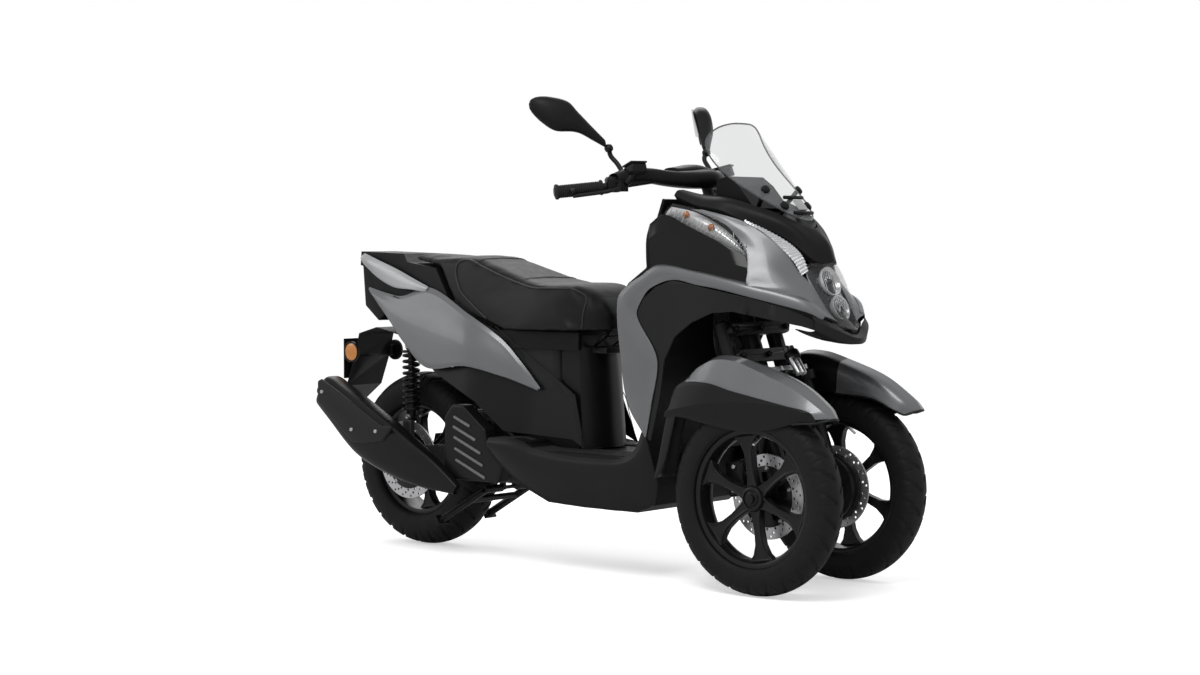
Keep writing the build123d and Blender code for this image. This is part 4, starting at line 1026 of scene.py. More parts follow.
@dataclass
class Knuckle:
    """Fork of one front wheel with its drum cover, caliper and fender."""

    side: Side
    crown: Sequence[Point] = ((981, 196, 465), (958, 195, 493), (873, 195, 548), (752, 195, 590),
                              (679, 195, 608), (608, 195, 604), (530, 195, 551), (482, 196, 460))
    ridge: Sequence[Point] = ((976, 216, 464), (952, 222, 485), (872, 226, 532), (752, 226, 577),
                              (680, 224, 598), (606, 222, 594), (527, 220, 542), (481, 220, 458))
    brim: Sequence[Point] = ((944, 234, 462), (930, 238, 479), (862, 243, 492), (752, 244, 512),
                             (690, 243, 523), (606, 240, 540), (512, 232, 530), (482, 236, 462))
    fold: Sequence[Point] = ((943, 233, 461), (905, 245, 481), (822, 248, 494), (740, 248, 496),
                             (680, 248, 494), (598, 248, 485), (530, 246, 473), (478, 242, 461))
    skirt: Sequence[Point] = ((940, 231, 453), (900, 240, 452), (822, 245, 432), (752, 246, 422),
                              (690, 246, 424), (606, 246, 436), (535, 245, 448), (472, 240, 446))
    inner_top: Sequence[Point] = ((974, 176, 462), (950, 162, 485), (870, 155, 536), (752, 153, 576),
                                  (679, 153, 594), (606, 153, 590), (528, 156, 541), (481, 164, 458))
    inner_low: Sequence[Point] = ((950, 158, 452), (930, 146, 464), (862, 140, 492), (752, 139, 500),
                                  (679, 139, 506), (606, 139, 500), (530, 142, 484), (481, 150, 450))
    lip: Sequence[Point] = ((880, 242, 447), (905, 240, 450), (940, 231, 452), (960, 224, 457),
                            (976, 212, 461), (981, 196, 462), (974, 178, 459), (950, 160, 451),
                            (930, 148, 462), (862, 142, 490), (752, 141, 499))

    def fender(self) -> None:
        """Builds the silver top, the black skirt, the inner side and the flap behind the wheel."""
        s, word = self.side.value, self.side.word
        top = skin("fender_top", (self.crown, self.ridge, self.brim), SILVER, s, 72, 7, 3.0, 0.8, (0, 0.6, 1),
                   (1,))
        repaint(top, BODY_BLACK, lambda m, n: m.x < 604 - max(0.0, abs(m.y) - 195) * 1.7)
        side = skin("fender_side", (self.brim, self.fold, self.skirt), BODY_BLACK, s, 72, 5, 3.0, 0.8,
                    (0, 1, 0.1), (1,))
        inner = skin("fender_inner", (self.inner_low, self.inner_top, self.crown), BODY_BLACK, s, 60, 6, 3.0,
                     0.8, (0, -0.6, 1))
        repaint(inner, SILVER, lambda m, n: m.x > 748)
        low, high = 330.0, 700.0
        foot, head = (steer_x(low), s * 110, low), (steer_x(high), s * 110, high)
        notch = rod("notch", foot, head, 54.5, BODY_BLACK, 0, 48)
        pierced(inner, [notch])
        back = [(482, 460), (466, 400), (450, 330), (437, 285)]
        rails = [[(x - (7 if y == 196 else 0), y, z) for x, z in back] for y in (152, 196, 236)]
        flap = skin("fender_flap", rails, BODY_BLACK, s, 16, 6, 3.0, 0.8, (-1, 0, 0.2))
        outer = [(x, 236, z) for x, z in back]
        ahead = [(512, 244, 446), (498, 243, 398), (476, 241, 330), (446, 238, 284)]
        cheek = skin("flap_side", (outer, ahead), BODY_BLACK, s, 16, 3, 3.0, 0.8, (0, 1, 0))
        lip = tube("lip", self.lip, 3.0, DARK_GREY, s, 60, sides=2)
        piece = join(f"{word}_fender_panels", [top, side, smooth(inner, 40), flap, cheek, lip])
        place_piece(piece, f"{word}_knuckle", [f"{word}_fender"])

    def fork(self) -> None:
        """Builds the fork, the drum cover and the caliper's bolts."""
        s, word = self.side.value, self.side.word
        body = f"{word}_knuckle"
        place_recast(f"{word}_fork", FRAME_BLACK, body)
        profile = ((0, -5), (22, -5), (26, -9), (52, -7), (56, -2), (72, 0), (84, 5), (90, 13), (91.5, 22),
                   (91.5, 30), (89, 32), (89, 36), (91.5, 38), (91, 44), (86, 46), (0, 46))
        cover = turned("drum_cover", profile, (740, s * 97, 250), (0, s, 0), BODY_BLACK, 72)
        pins = [bolt("pin", (740 + 66 * sin(a), s * 97, 250 + 66 * cos(a)), (0, -s, 0), 5, FRAME_BLACK)
                for a in (0.5, 2.1, 3.7, 5.2)]
        heads = [bolt("head", (648, s * 170, z), (0, s, 0), 6.5) for z in (262, 322)]
        body_block = block("caliper", (648, s * 150, 292), (58, 40, 92), FRAME_BLACK, 7, (0, -12, 0),
                           (0.85, 0.9))
        place_piece(join(f"{word}_drum_cover_and_caliper", [cover, *pins, *heads, body_block]), body)

    def build(self) -> None:
        """Builds everything that turns with the knuckle."""
        self.fork()
        self.fender()


@dataclass
class Linkage:
    """Leaning arms, link tubes, tie rod and the tilting damper."""

    def build(self) -> None:
        """Dresses the arms and adds their bolts and the damper."""
        for node in ("lower_arm", "upper_arm", "left_link_tube", "right_link_tube"):
            place_recast(node, FRAME_BLACK, "root")
        place_recast("tie_rod", BARE_METAL, "tie_rod")
        heads = []
        for reach in (362, 436):
            z = 250 + reach * cos(RAKE)
            for y in (-110, 0, 110):
                spot = (steer_x(z) + 45 * cos(RAKE), y, z + 45 * sin(RAKE))
                heads.append(bolt("head", spot, (cos(RAKE), 0, sin(RAKE)), 8, FRAME_BLACK))
        rods = [rod("damper", (712, -14 - d, 626), (768, -32 - d, 560), 9, BARE_METAL, 1.5, 20)
                for d in (0, 20)]
        collar = rod("collar", (724, -27, 612), (738, -32, 596), 20, FRAME_BLACK, 2, 24)
        place_piece(join("arm_bolts_and_damper", [*heads, *rods, collar]), "root")


# ---------------------------------------------------------------------------------------------
# Front body, lamps, screen and cockpit
# ---------------------------------------------------------------------------------------------
SHIELD_REACH = 65.0
SHIELD_BEND = 620.0
SHIELD_DROP = 250.0


@dataclass
class FrontBody:
    """Silver cowls with their arch bands, the cheeks, liners, beak and nose."""

    band_ridge: Sequence[Point] = ((378, 205, 388), (324, 207, 473), (298, 207, 610), (289, 207, 742),
                                   (318, 206, 779), (365, 205, 806), (421, 204, 836), (538, 198, 820),
                                   (617, 191, 805), (694, 178, 788), (780, 146, 767), (839, 120, 745),
                                   (873, 90, 712))
    band_middle: Sequence[Point] = ((381, 207, 386), (362, 210, 473), (352, 211, 605), (320, 210, 722),
                                    (344, 209, 762), (384, 208, 790), (446, 207, 815), (541, 202, 802),
                                    (617, 196, 789), (695, 183, 772), (782, 151, 749), (844, 123, 728),
                                    (872, 93, 706))
    band_edge: Sequence[Point] = ((384, 205, 382), (402, 205, 473), (421, 205, 592), (353, 205, 705),
                                  (371, 205, 749), (400, 205, 778), (468, 200, 800), (545, 197, 788),
                                  (617, 190, 776), (697, 177, 759), (785, 146, 737), (848, 118, 718),
                                  (868, 96, 702))
    finger_outer: Sequence[Point] = ((500, 162, 985), (560, 153, 962), (606, 148, 940), (641, 144, 905),
                                     (668, 148, 868), (686, 167, 824), (694, 178, 789), (780, 147, 768),
                                     (839, 120, 745), (873, 90, 712))
    finger_middle: Sequence[Point] = ((512, 157, 984), (580, 147, 964), (630, 138, 942), (672, 130, 907),
                                      (708, 126, 868), (744, 128, 826), (774, 122, 795), (812, 104, 770),
                                      (852, 86, 736), (876, 66, 706))
    finger_inner: Sequence[Point] = ((529, 152, 983), (600, 137, 966), (646, 121, 950), (704, 104, 915),
                                     (748, 90, 875), (787, 74, 818), (802, 67, 802), (831, 61, 764),
                                     (854, 55, 730), (878, 46, 698))
    cheek_top: Sequence[Point] = ((384, 190, 946), (428, 186, 971), (505, 180, 940), (560, 175, 916),
                                  (620, 165, 890), (672, 152, 862))
    cheek_fold: Sequence[Point] = ((382, 197, 905), (428, 195, 925), (512, 190, 893), (572, 184, 868),
                                   (632, 175, 846), (684, 161, 832))
    cheek_low: Sequence[Point] = ((386, 197, 812), (429, 196, 824), (526, 190, 818), (578, 185, 808),
                                  (636, 178, 798), (694, 166, 786))
    cheek_back: Sequence[Point] = ((385, 184, 938), (382, 192, 905), (384, 195, 858),
                                   (386, 195, 812), (380, 198, 790))
    beak_under: Sequence[Point] = ((436, 138, 1006), (504, 138, 980), (576, 130, 966), (638, 108, 936),
                                   (700, 84, 912), (745, 64, 884), (794, 42, 842), (812, 24, 832),
                                   (820, 0, 836))
    beak_edge: Sequence[Point] = ((434, 150, 1021), (504, 150, 995), (578, 141, 981), (642, 118, 951),
                                  (708, 92, 927), (755, 73, 899), (808, 50, 854), (828, 28, 842),
                                  (840, 0, 850))
    beak_top: Sequence[Point] = ((436, 138, 1034), (506, 136, 1012), (582, 129, 1002), (655, 108, 976),
                                 (722, 84, 952), (766, 63, 926), (802, 40, 893), (812, 20, 894),
                                 (818, 0, 898))
    beak_inner: Sequence[Point] = ((440, 118, 1036), (508, 114, 1022), (588, 110, 1012), (662, 90, 990),
                                   (717, 66, 970), (752, 42, 950), (770, 26, 940), (777, 12, 936),
                                   (780, 0, 934))
    nose_top: Sequence[Point] = ((850, 116, 714), (872, 92, 702), (884, 62, 690), (896, 34, 675),
                                 (908, 0, 664))
    nose_front: Sequence[Point] = ((860, 114, 700), (884, 92, 686), (903, 62, 672), (916, 34, 660),
                                   (923, 0, 654))
    nose_low: Sequence[Point] = ((852, 110, 672), (872, 92, 660), (894, 60, 647), (910, 32, 641),
                                 (917, 0, 639))
    nose_back: Sequence[Point] = ((790, 104, 676), (806, 84, 664), (824, 54, 652), (838, 28, 645),
                                  (842, 0, 643))
    nose_lip: Sequence[Point] = ((694, 158, 738), (778, 128, 718), (836, 102, 698), (856, 84, 684))
    nose_core: Sequence[tuple[float, float, float, float]] = ((700, 738, 146, 30), (790, 712, 114, 24),
                                                              (850, 690, 84, 14), (880, 680, 60, 10),
                                                              (893, 674, 36, 7))

    @staticmethod
    def footwell(point: Point) -> Point:
        """Slopes the foot of the leg shield forward, behind the band's edge."""
        x, y, z = point
        return (x + SHIELD_REACH * min(1.0, max(0.0, (SHIELD_BEND - z) / SHIELD_DROP)), y, z)

    def cowls(self) -> None:
        """Builds each side's silver cowl and gloss black cheek."""
        for side in Side:
            s, word = side.value, side.word
            roll = [(x - (9 if z < 760 and x < 400 else 3), y - 15, z + (0 if z < 700 else 6))
                    for x, y, z in self.band_ridge]
            band = skin("band", (roll, self.band_ridge, self.band_middle, self.band_edge), SILVER, s, 96, 5,
                        3.0, 0.8, (0.1, 1, 0.1))
            finger = skin("finger", (self.finger_outer, self.finger_middle, self.finger_inner), SILVER, s, 60,
                          6, 3.0, 0.8, (0.7, 0.5, 0.5))
            place_piece(join(f"{word}_silver_cowl", [band, finger]), "root",
                        [f"{word}_front_cowl"])
            rails = (self.cheek_top, self.cheek_fold, self.cheek_low)
            cheek = skin(f"{word}_gloss_cheek", rails, GLOSS_BLACK, s, 48, 6, 3.0, 1.0, (0, 1, 0.2), (1,))
            gasket = tube("gasket", self.cheek_back, 6.0, MATTE_BLACK, s, 30, sides=3)
            place_piece(join(f"{word}_cheek_and_gasket", [cheek, gasket]), "root",
                        [f"{word}_cheek_panel"])

    def build(self) -> None:
        """Builds the front body."""
        self.cowls()
        for side in Side:
            node = f"{side.word}_arch_liner"
            place_recast(node, DARK_GREY, "root")
        shield = smooth(moved(recast("leg_shield", MATTE_BLACK), self.footwell, 3), 36)
        place_piece(shield, "root", ["leg_shield"])
        self.beak()
        self.nose()

    def beak(self) -> None:
        """Builds the black beak round the foot of the screen, with its deck."""
        lines = (self.beak_under, self.beak_edge, self.beak_top, self.beak_inner)
        rails = [both_sides(line) for line in lines]
        lip = skin("beak_lip", rails, MATTE_BLACK, 1, 150, 6, 3.0, 1.0, (0, 0, 1), (1,))
        deck_edge = [(508, 63, 1004), (590, 62, 994), (655, 52, 974), (705, 40, 958), (738, 26, 944),
                     (762, 8, 932)]
        inner = [(500, 116, 1024), (588, 110, 1012), (662, 90, 990), (717, 66, 970), (752, 42, 950),
                 (772, 10, 936)]
        flat = [(x, -y, z) for x, y, z in deck_edge]
        other = [(x, -y, z) for x, y, z in inner]
        deck = skin("beak_deck", (inner, deck_edge, flat, other), MATTE_BLACK, 1, 30, 4, 3.0, 0.5, (0, 0, 1))
        place_piece(join("black_beak", [lip, deck]), "root", ["front_beak"])

    def nose(self) -> None:
        """Builds the chin below the headlight."""
        rails = [both_sides(line) for line in (self.nose_top, self.nose_front, self.nose_low, self.nose_back)]
        chin = skin("chin", rails, DARK_GREY, 1, 90, 5, 3.0, 1.0, (1, 0, 0.3), (1,))
        core = loft("core", [((x, 0, z), (0, w, 0), (0, 0, h)) for x, z, w, h in self.nose_core], BODY_BLACK,
                    smooth_steps=4, squareness=0.6)
        rails = (self.band_edge[9:], self.nose_lip)
        lips = [skin("lip", rails, DARK_GREY, side.value, 40, 3, 3.0, 0.5, (0, 0.5, -1)) for side in Side]
        place_piece(join("chin_and_core", [chin, core, *lips]), "root", ["nose_cover"])


@dataclass
class Lamps:
    """Headlight, turn signals, position strips and tail light."""

    strip_outer: Sequence[Point] = ((644, 122, 950), (692, 108, 925), (726, 98, 896), (770, 83, 850),
                                    (789, 74, 815))
    strip_inner: Sequence[Point] = ((644, 120, 955), (705, 96, 925), (757, 75, 892), (786, 66, 862),
                                    (800, 61, 826))
    signal_low: Sequence[Point] = ((427, 186, 974), (505, 181, 942), (560, 176, 919), (620, 166, 893),
                                   (674, 151, 864))
    signal_top: Sequence[Point] = ((446, 171, 1000), (517, 161, 985), (584, 152, 954), (626, 146, 924),
                                   (660, 143, 884))
    glass_edge: Sequence[Point] = ((792, 61, 842), (806, 64, 806), (831, 61, 766), (850, 56, 736),
                                   (876, 46, 700), (889, 30, 682))
    glass_half: Sequence[Point] = ((820, 34, 848), (842, 36, 812), (864, 36, 768), (880, 34, 732),
                                   (896, 26, 696), (903, 18, 678))
    glass_middle: Sequence[Point] = ((836, 0, 850), (860, 0, 812), (880, 0, 768), (894, 0, 732),
                                     (906, 0, 694), (909, 0, 675))

    def headlight(self) -> None:
        """Builds the two stacked lamps under one clear cover."""
        edge = [(x, -y, z) for x, y, z in self.glass_edge]
        half = [(x, -y, z) for x, y, z in self.glass_half]
        cover = skin("headlight_glass", (edge, half, self.glass_middle, self.glass_half, self.glass_edge),
                     CLEAR, 1, 36, 5, 2.0, 0.4, (1, 0, 0.4))
        place_piece(cover, "root")
        depth = (1.0, 1.0, 1.0, 0.9, 0.4, 0.05)
        inner = [[(x - 34 * k, y * 0.96, z - 18 * k) for (x, y, z), k in zip(rail, depth)]
                 for rail in (edge, half, self.glass_middle, self.glass_half, self.glass_edge)]
        bowl = skin("headlight_bowl", inner, SMOKED, 1, 24, 5, 2.0, 0.4, (1, 0, 0.4))
        trims = []
        for s in (1, -1):
            outer = [(x - 6, s * (y - 5), z - 3) for x, y, z in self.glass_edge[:4]]
            deep = [(x - 8, s * (y - 14), z - 2) for x, y, z in self.glass_edge[:4]]
            trims.append(skin("headlight_side", (outer, deep), RIB_WHITE, 1, 30, 3, 2.0, 0.3, (1, 0, 0.3)))
        parts = [bowl, *trims]
        for x, z, r in ((826, 797, 36), (858, 730, 31)):
            profile = ((0, -26), (8, -24), (r * 0.7, -14), (r, 4), (r + 3, 5), (r + 3, -2), (r * 0.75, -18),
                       (0, -30))
            parts.append(turned("reflector", profile, (x, 0, z), (0.93, 0, 0.36), TRAY, 48))
            for y in range(-24, 25, 8):
                tall = sqrt(max(0, r * r - y * y)) * 0.9
                low = (x + 0.36 * tall - 4, y, z - 0.93 * tall)
                high = (x - 0.36 * tall - 4, y, z + 0.93 * tall)
                parts.append(rod("flute", low, high, 1.3, CHROME, 0.3, 8))
            bulb = ((0, 6), (5, 5), (8, 0), (9, -8), (9, -22), (0, -22))
            parts.append(turned("bulb", bulb, (x, 0, z), (0.93, 0, 0.36), SMOKED, 24))
        zigzag = [(860 - 0.36 * up, y, 732 + 0.93 * up)
                  for y, up in ((-23, 15), (-12, -13), (0, 11), (12, -13), (23, 15))]
        parts.append(tube("zigzag", zigzag, 2.2, RIB_WHITE, 1, 0, straight=True, sides=2))
        place_piece(join("headlight_bowl_and_reflectors", parts), "root", ["headlight"])

    def signals(self) -> None:
        """Builds the turn signals, their amber bulbs and the ribbed position strips."""
        for side in Side:
            s, word = side.value, side.word
            lift = [(x + 2, y - 6, z + 1) for x, y, z in self.signal_low]
            middle = [((a[0] + b[0]) / 2 + 6, (a[1] + b[1]) / 2 + 3, (a[2] + b[2]) / 2 + 3)
                      for a, b in zip(self.signal_low, self.signal_top)]
            lens = skin(f"{word}_signal_lens", (self.signal_low, middle, self.signal_top), CLEAR, s, 40, 5,
                        2.0, 0.5, (0.5, 0.6, 0.5))
            place_piece(lens, "root")
            back = [[(x - 13, y - 13, z - 9) for x, y, z in rail] for rail in (lift, middle, self.signal_top)]
            tray = skin("signal_tray", back, TRAY, s, 24, 4, 2.0, 0.4, (0.5, 0.6, 0.5))
            bulbs = []
            for x, y, z in ((486, 164, 970), (562, 156, 937)):
                profile = ((0, 10), (5, 9), (8, 5), (9, 0), (8, -8), (0, -9))
                bulbs.append(turned("bulb", profile, (x, s * y, z), (0.5, s * 0.5, 0.4), AMBER, 24))
            fins = [tube("fin", [(x - 2, y - 7, z - 1), (x + 5, y - 12, z + 20)], 1.1, RIB_WHITE, s, 2)
                    for x, y, z in (curve_triple(self.signal_low, 0.06 + 0.055 * i) for i in range(17))]
            place_piece(join(f"{word}_signal_tray_and_bulbs", [tray, *bulbs, *fins]), "root",
                        [f"{word}_turn_signal"])
            strip = ribbed(skin(f"{word}_position_strip", (self.strip_outer, self.strip_inner), RIB_WHITE, s,
                                96, 4, 2.5, 0.0, (0.7, 0.5, 0.5)), 97, 1.6)
            place_piece(strip, "root")

    def tail(self) -> None:
        """Dresses the tail light, red only where it faces back."""
        outline = ((-819, 857), (-812, 818), (-803, 706), (-746, 661), (-705, 690), (-705, 852))
        light = prism("tail_light_body", outline, -77, 77, BODY_BLACK, 5)
        repaint(light, RED, lambda middle, normal: normal.x < -0.8 and middle.z > 700)
        bars = [block("bar", (-811, s * 24, 770), (4, 3, 84), SMOKED, 1, (0, 4, 0))
                for s in (-2, -1, 0, 1, 2)]
        light = join("tail_light_and_bars", [light, *bars])
        place_piece(light, "root", ["tail_light"])

    def build(self) -> None:
        """Builds every lamp."""
        self.headlight()
        self.signals()
        self.tail()


def curve_triple(rail: Sequence[Point], share: float) -> Point:
    """Point at a share of a rail's length, in millimetres."""
    spots = [Vector(p) for p in rail]
    found = curve_points(spots, 50)[round(50 * share)]
    return (found.x, found.y, found.z)


def ribbed(obj: bpy.types.Object, wide: int, depth: float) -> bpy.types.Object:
    """Raises every other pair of columns of a panel into ribs, depth in millimetres."""
    mesh = obj.data
    normals = [vertex.normal.copy() for vertex in mesh.vertices]
    for vertex in mesh.vertices:
        if (vertex.index % wide) % 4 < 2:
            vertex.co += normals[vertex.index] * depth * MM
    mesh.update()
    return smooth(obj, 25)


@dataclass
class Screen:
    """Clear windscreen rolled round a slanted axis, with its pads and a dark rim tube that is painted shade
    along its edge.
    """

    bend: float = 180.0
    levels: Sequence[Flat] = ((1211, 16), (1210, 40), (1205, 66), (1198, 86), (1184, 108), (1160, 127),
                              (1125, 135), (1090, 133), (1060, 124), (1030, 108), (1004, 88), (982, 64),
                              (966, 42), (957, 20), (955, 6))

    def spot(self, y: float, z: float, out: float = 0.0) -> Point:
        """Point of the screen at a place across and a height."""
        drop = self.bend - sqrt(self.bend ** 2 - y * y)
        reach = (1212 - 0.6355 * drop - z) / 0.772
        return (548 + 0.6355 * reach - 0.772 * (drop - out), y, z + 0.6355 * out)

    def build(self) -> None:
        """Builds the screen and its fixings."""
        rails = [[self.spot(half * share / 6, z) for share in range(-6, 7)] for z, half in self.levels]
        sheet = skin("clear_windscreen", rails, SCREEN, 1, 40, 4, 4.0, 0.0, (0.77, 0, 0.64))
        place_piece(sheet, "root", ["windscreen"])
        # The dark tube round the outline is painted shade along the clear sheet's cut edge.
        line = [self.spot(half, z, -2) for z, half in self.levels]
        line += [self.spot(-half, z, -2) for z, half in reversed(self.levels)]
        rim = tube("screen_edge_shade", line, 2.2, SCREEN_EDGE_SHADE, 1, 220, closed=True, sides=2)
        place_piece(rim, "root")
        parts = []
        for s in (1, -1):
            for y, z in ((74, 1034), (52, 992)):
                x, _, up = self.spot(s * y, z, 2)
                parts.append(turned("pad", ((0, 5), (8, 5), (11, 3), (12, 0), (12, -4), (0, -4)),
                                    (x, s * y, up), (0.7, s * 0.3, 0.6), MATTE_BLACK, 28))
                parts.append(rod("post", (x - 6, s * (y - 2), up - 5), (x - 34, s * (y - 16), up - 44), 6,
                                 FRAME_BLACK, 1, 16))
        for z in (1012, 972):
            line = [self.spot(y, z, 3) for y in (-40, -20, 0, 20, 40)]
            parts.append(tube("strap", line, 5, MATTE_BLACK, 1, 20, sides=3))
        x, _, up = self.spot(0, 992, 4)
        parts.append(block("badge_plate", (x, 0, up), (34, 40, 3), BRIGHT_SILVER, 1.2, (0, 50, 0)))
        place_piece(join("screen_pads_and_posts", parts), "root")


@dataclass
class Cockpit:
    """Handlebar, grips, levers, mirrors, bar cover and meter."""

    grip_start: Point = (272, 250, 1042)
    grip_end: Point = (196, 352, 1029)

    def grips(self) -> None:
        """Builds the ribbed grips with their end weights."""
        for side in Side:
            s = side.value
            a = Vector((self.grip_start[0], s * self.grip_start[1], self.grip_start[2]))
            b = Vector((self.grip_end[0], s * self.grip_end[1], self.grip_end[2]))
            reach = (b - a).length
            profile: list[Flat] = [(11.6, 0), (19.5, 0), (20.5, 2), (20.5, 5), (17, 7)]
            at = 9.0
            while at < reach - 12:
                profile += [(17.2, at), (17.2, at + 3.2), (16.2, at + 3.8), (16.2, at + 4.8)]
                at += 5.6
            profile += [(17.5, reach - 9), (20, reach - 8), (20.5, reach - 3), (19, reach - 1),
                        (11.6, reach - 1)]
            grip = turned("grip", profile, tuple(a), tuple(b - a), GRIP, 36)
            outline = ((0, reach - 6), (14, reach - 6), (15, reach - 2), (13, reach + 1), (11, reach + 2),
                       (0, reach + 2))
            weight = turned("weight", outline, tuple(a), tuple(b - a), FRAME_BLACK, 36)
            place_piece(join(f"{side.word}_ribbed_grip", [grip, weight]), "steering",
                        [f"{side.word}_grip"])

    def controls(self) -> None:
        """Dresses the bar and adds reservoirs, switches and lever tips."""
        place_recast("handlebar", FRAME_BLACK, "steering")
        half = [((302, 240, 1064), (17, 0, 0), (0, 0, 14)), ((318, 200, 1074), (24, 0, 0), (0, 0, 18)),
                ((344, 150, 1074), (28, 0, 0), (0, 0, 20)), ((378, 100, 1066), (34, 0, 0), (0, 0, 21)),
                ((404, 50, 1064), (44, 0, 0), (0, 0, 24))]
        other = [((c[0], -c[1], c[2]), u, v) for c, u, v in reversed(half)]
        cover = loft("bar_cover", [*half, ((414, 0, 1066), (50, 0, 0), (0, 0, 26)), *other], MATTE_BLACK)
        hump = loft("hump", [((372, y, 1086), (46 - abs(y) * 0.25, 0, 0), (0, 0, 20 - abs(y) * 0.12))
                             for y in (-84, -50, 0, 50, 84)], MATTE_BLACK)
        place_piece(join("sweeping_bar_cover", [cover, hump]), "steering", ["handlebar_cover"])
        parts = []
        for side in Side:
            s = side.value
            parts.append(block("reservoir", (338, s * 192, 1088), (52, 46, 26), MATTE_BLACK, 4,
                               (0, -14, s * 24), (0.94, 0.94)))
            parts.append(block("lid", (335, s * 192, 1103), (54, 48, 5), FRAME_BLACK, 1.5, (0, -14, s * 24)))
            parts.append(rod("clamp", (322, s * 214, 1052), (340, s * 192, 1084), 11, FRAME_BLACK, 2, 20))
            parts.append(rod("lever_tip", (243, s * 326, 1031), (236, s * 336, 1029), 8, FRAME_BLACK, 3, 20))
            parts.append(block("switches", (290, s * 226, 1050), (44, 40, 42), MATTE_BLACK, 9,
                               (0, 0, s * 37)))
            for d in (-9, 9):
                parts.append(rod("button", (268 + d * 0.6, s * (222 + d), 1060),
                                 (262 + d * 0.6, s * (218 + d), 1062), 6, DARK_GREY, 1.5, 16))
        place_piece(join("bar_controls", parts), "steering")

    def mirrors(self) -> None:
        """Builds the mirrors, with the glass on the rider's side."""
        heads = ((257, 219, 1158, 11, 10), (234, 245, 1185, 20, 16), (211, 272, 1213, 30, 22),
                 (194, 290, 1229, 41, 25), (164, 324, 1236, 46, 26), (141, 349, 1247, 35, 20),
                 (127, 364, 1254, 20, 11), (122, 369, 1255, 8, 4))
        for side in Side:
            s, node = side.value, f"{side.word}_mirror"
            shell = [((x, y, z), (0.76 * t, 0.65 * t, 0), (-0.2 * h, 0, 0.98 * h)) for x, y, z, h, t in heads]
            pod = loft("pod", shell, MATTE_BLACK, side=s, squareness=0.75)
            face = [((x - 0.76 * t, y - 0.65 * t, z), (1.5, 1.3, 0), (-0.17 * h, 0, 0.84 * h))
                    for x, y, z, h, t in heads[1:]]
            glass = loft("glass", face, MIRROR_GLASS, side=s, squareness=0.75)
            stalk = tube("stalk", [(264, 212, 1150), (262, 204, 1128), (282, 198, 1104), (306, 196, 1070)],
                         6.5, FRAME_BLACK, s)
            ball = turned("ball", ((0, 12), (7, 10), (11.5, 4), (12, 0), (11.5, -4), (7, -10), (0, -12)),
                          (263, s * 212, 1146), (0, 0, 1), FRAME_BLACK, 28)
            foot = rod("foot", (312, s * 196, 1056), (302, s * 197, 1080), 11, FRAME_BLACK, 2)
            place_piece(join(f"{side.word}_mirror_pod", [pod, glass, stalk, ball, foot]), "steering",
                        [node])

    def meter(self) -> None:
        """Dresses the meter housing and adds its glass."""
        place_recast("meter_housing", MATTE_BLACK, "root")
        glass = block("glass", (518, 0, 1040), (5, 122, 36), METER_GLASS, 2)
        ring = ((18, -2), (20, -2), (20, 2), (18, 2))
        rims = [turned("rim", ring, (516, y, 1040), (1, 0, 0), BARE_METAL, 40) for y in (-38, 0, 38)]
        place_piece(join("meter_glass_and_rims", [glass, *rims]), "root")
        inner = [block("inner_cover", (482, side.value * 94, 930), (160, 112, 4), MATTE_BLACK, 0.5)
                 for side in Side]
        place_piece(join("inner_cover", inner), "root")

    def build(self) -> None:
        """Builds the cockpit."""
        self.grips()
        self.controls()
        self.mirrors()
        self.meter()


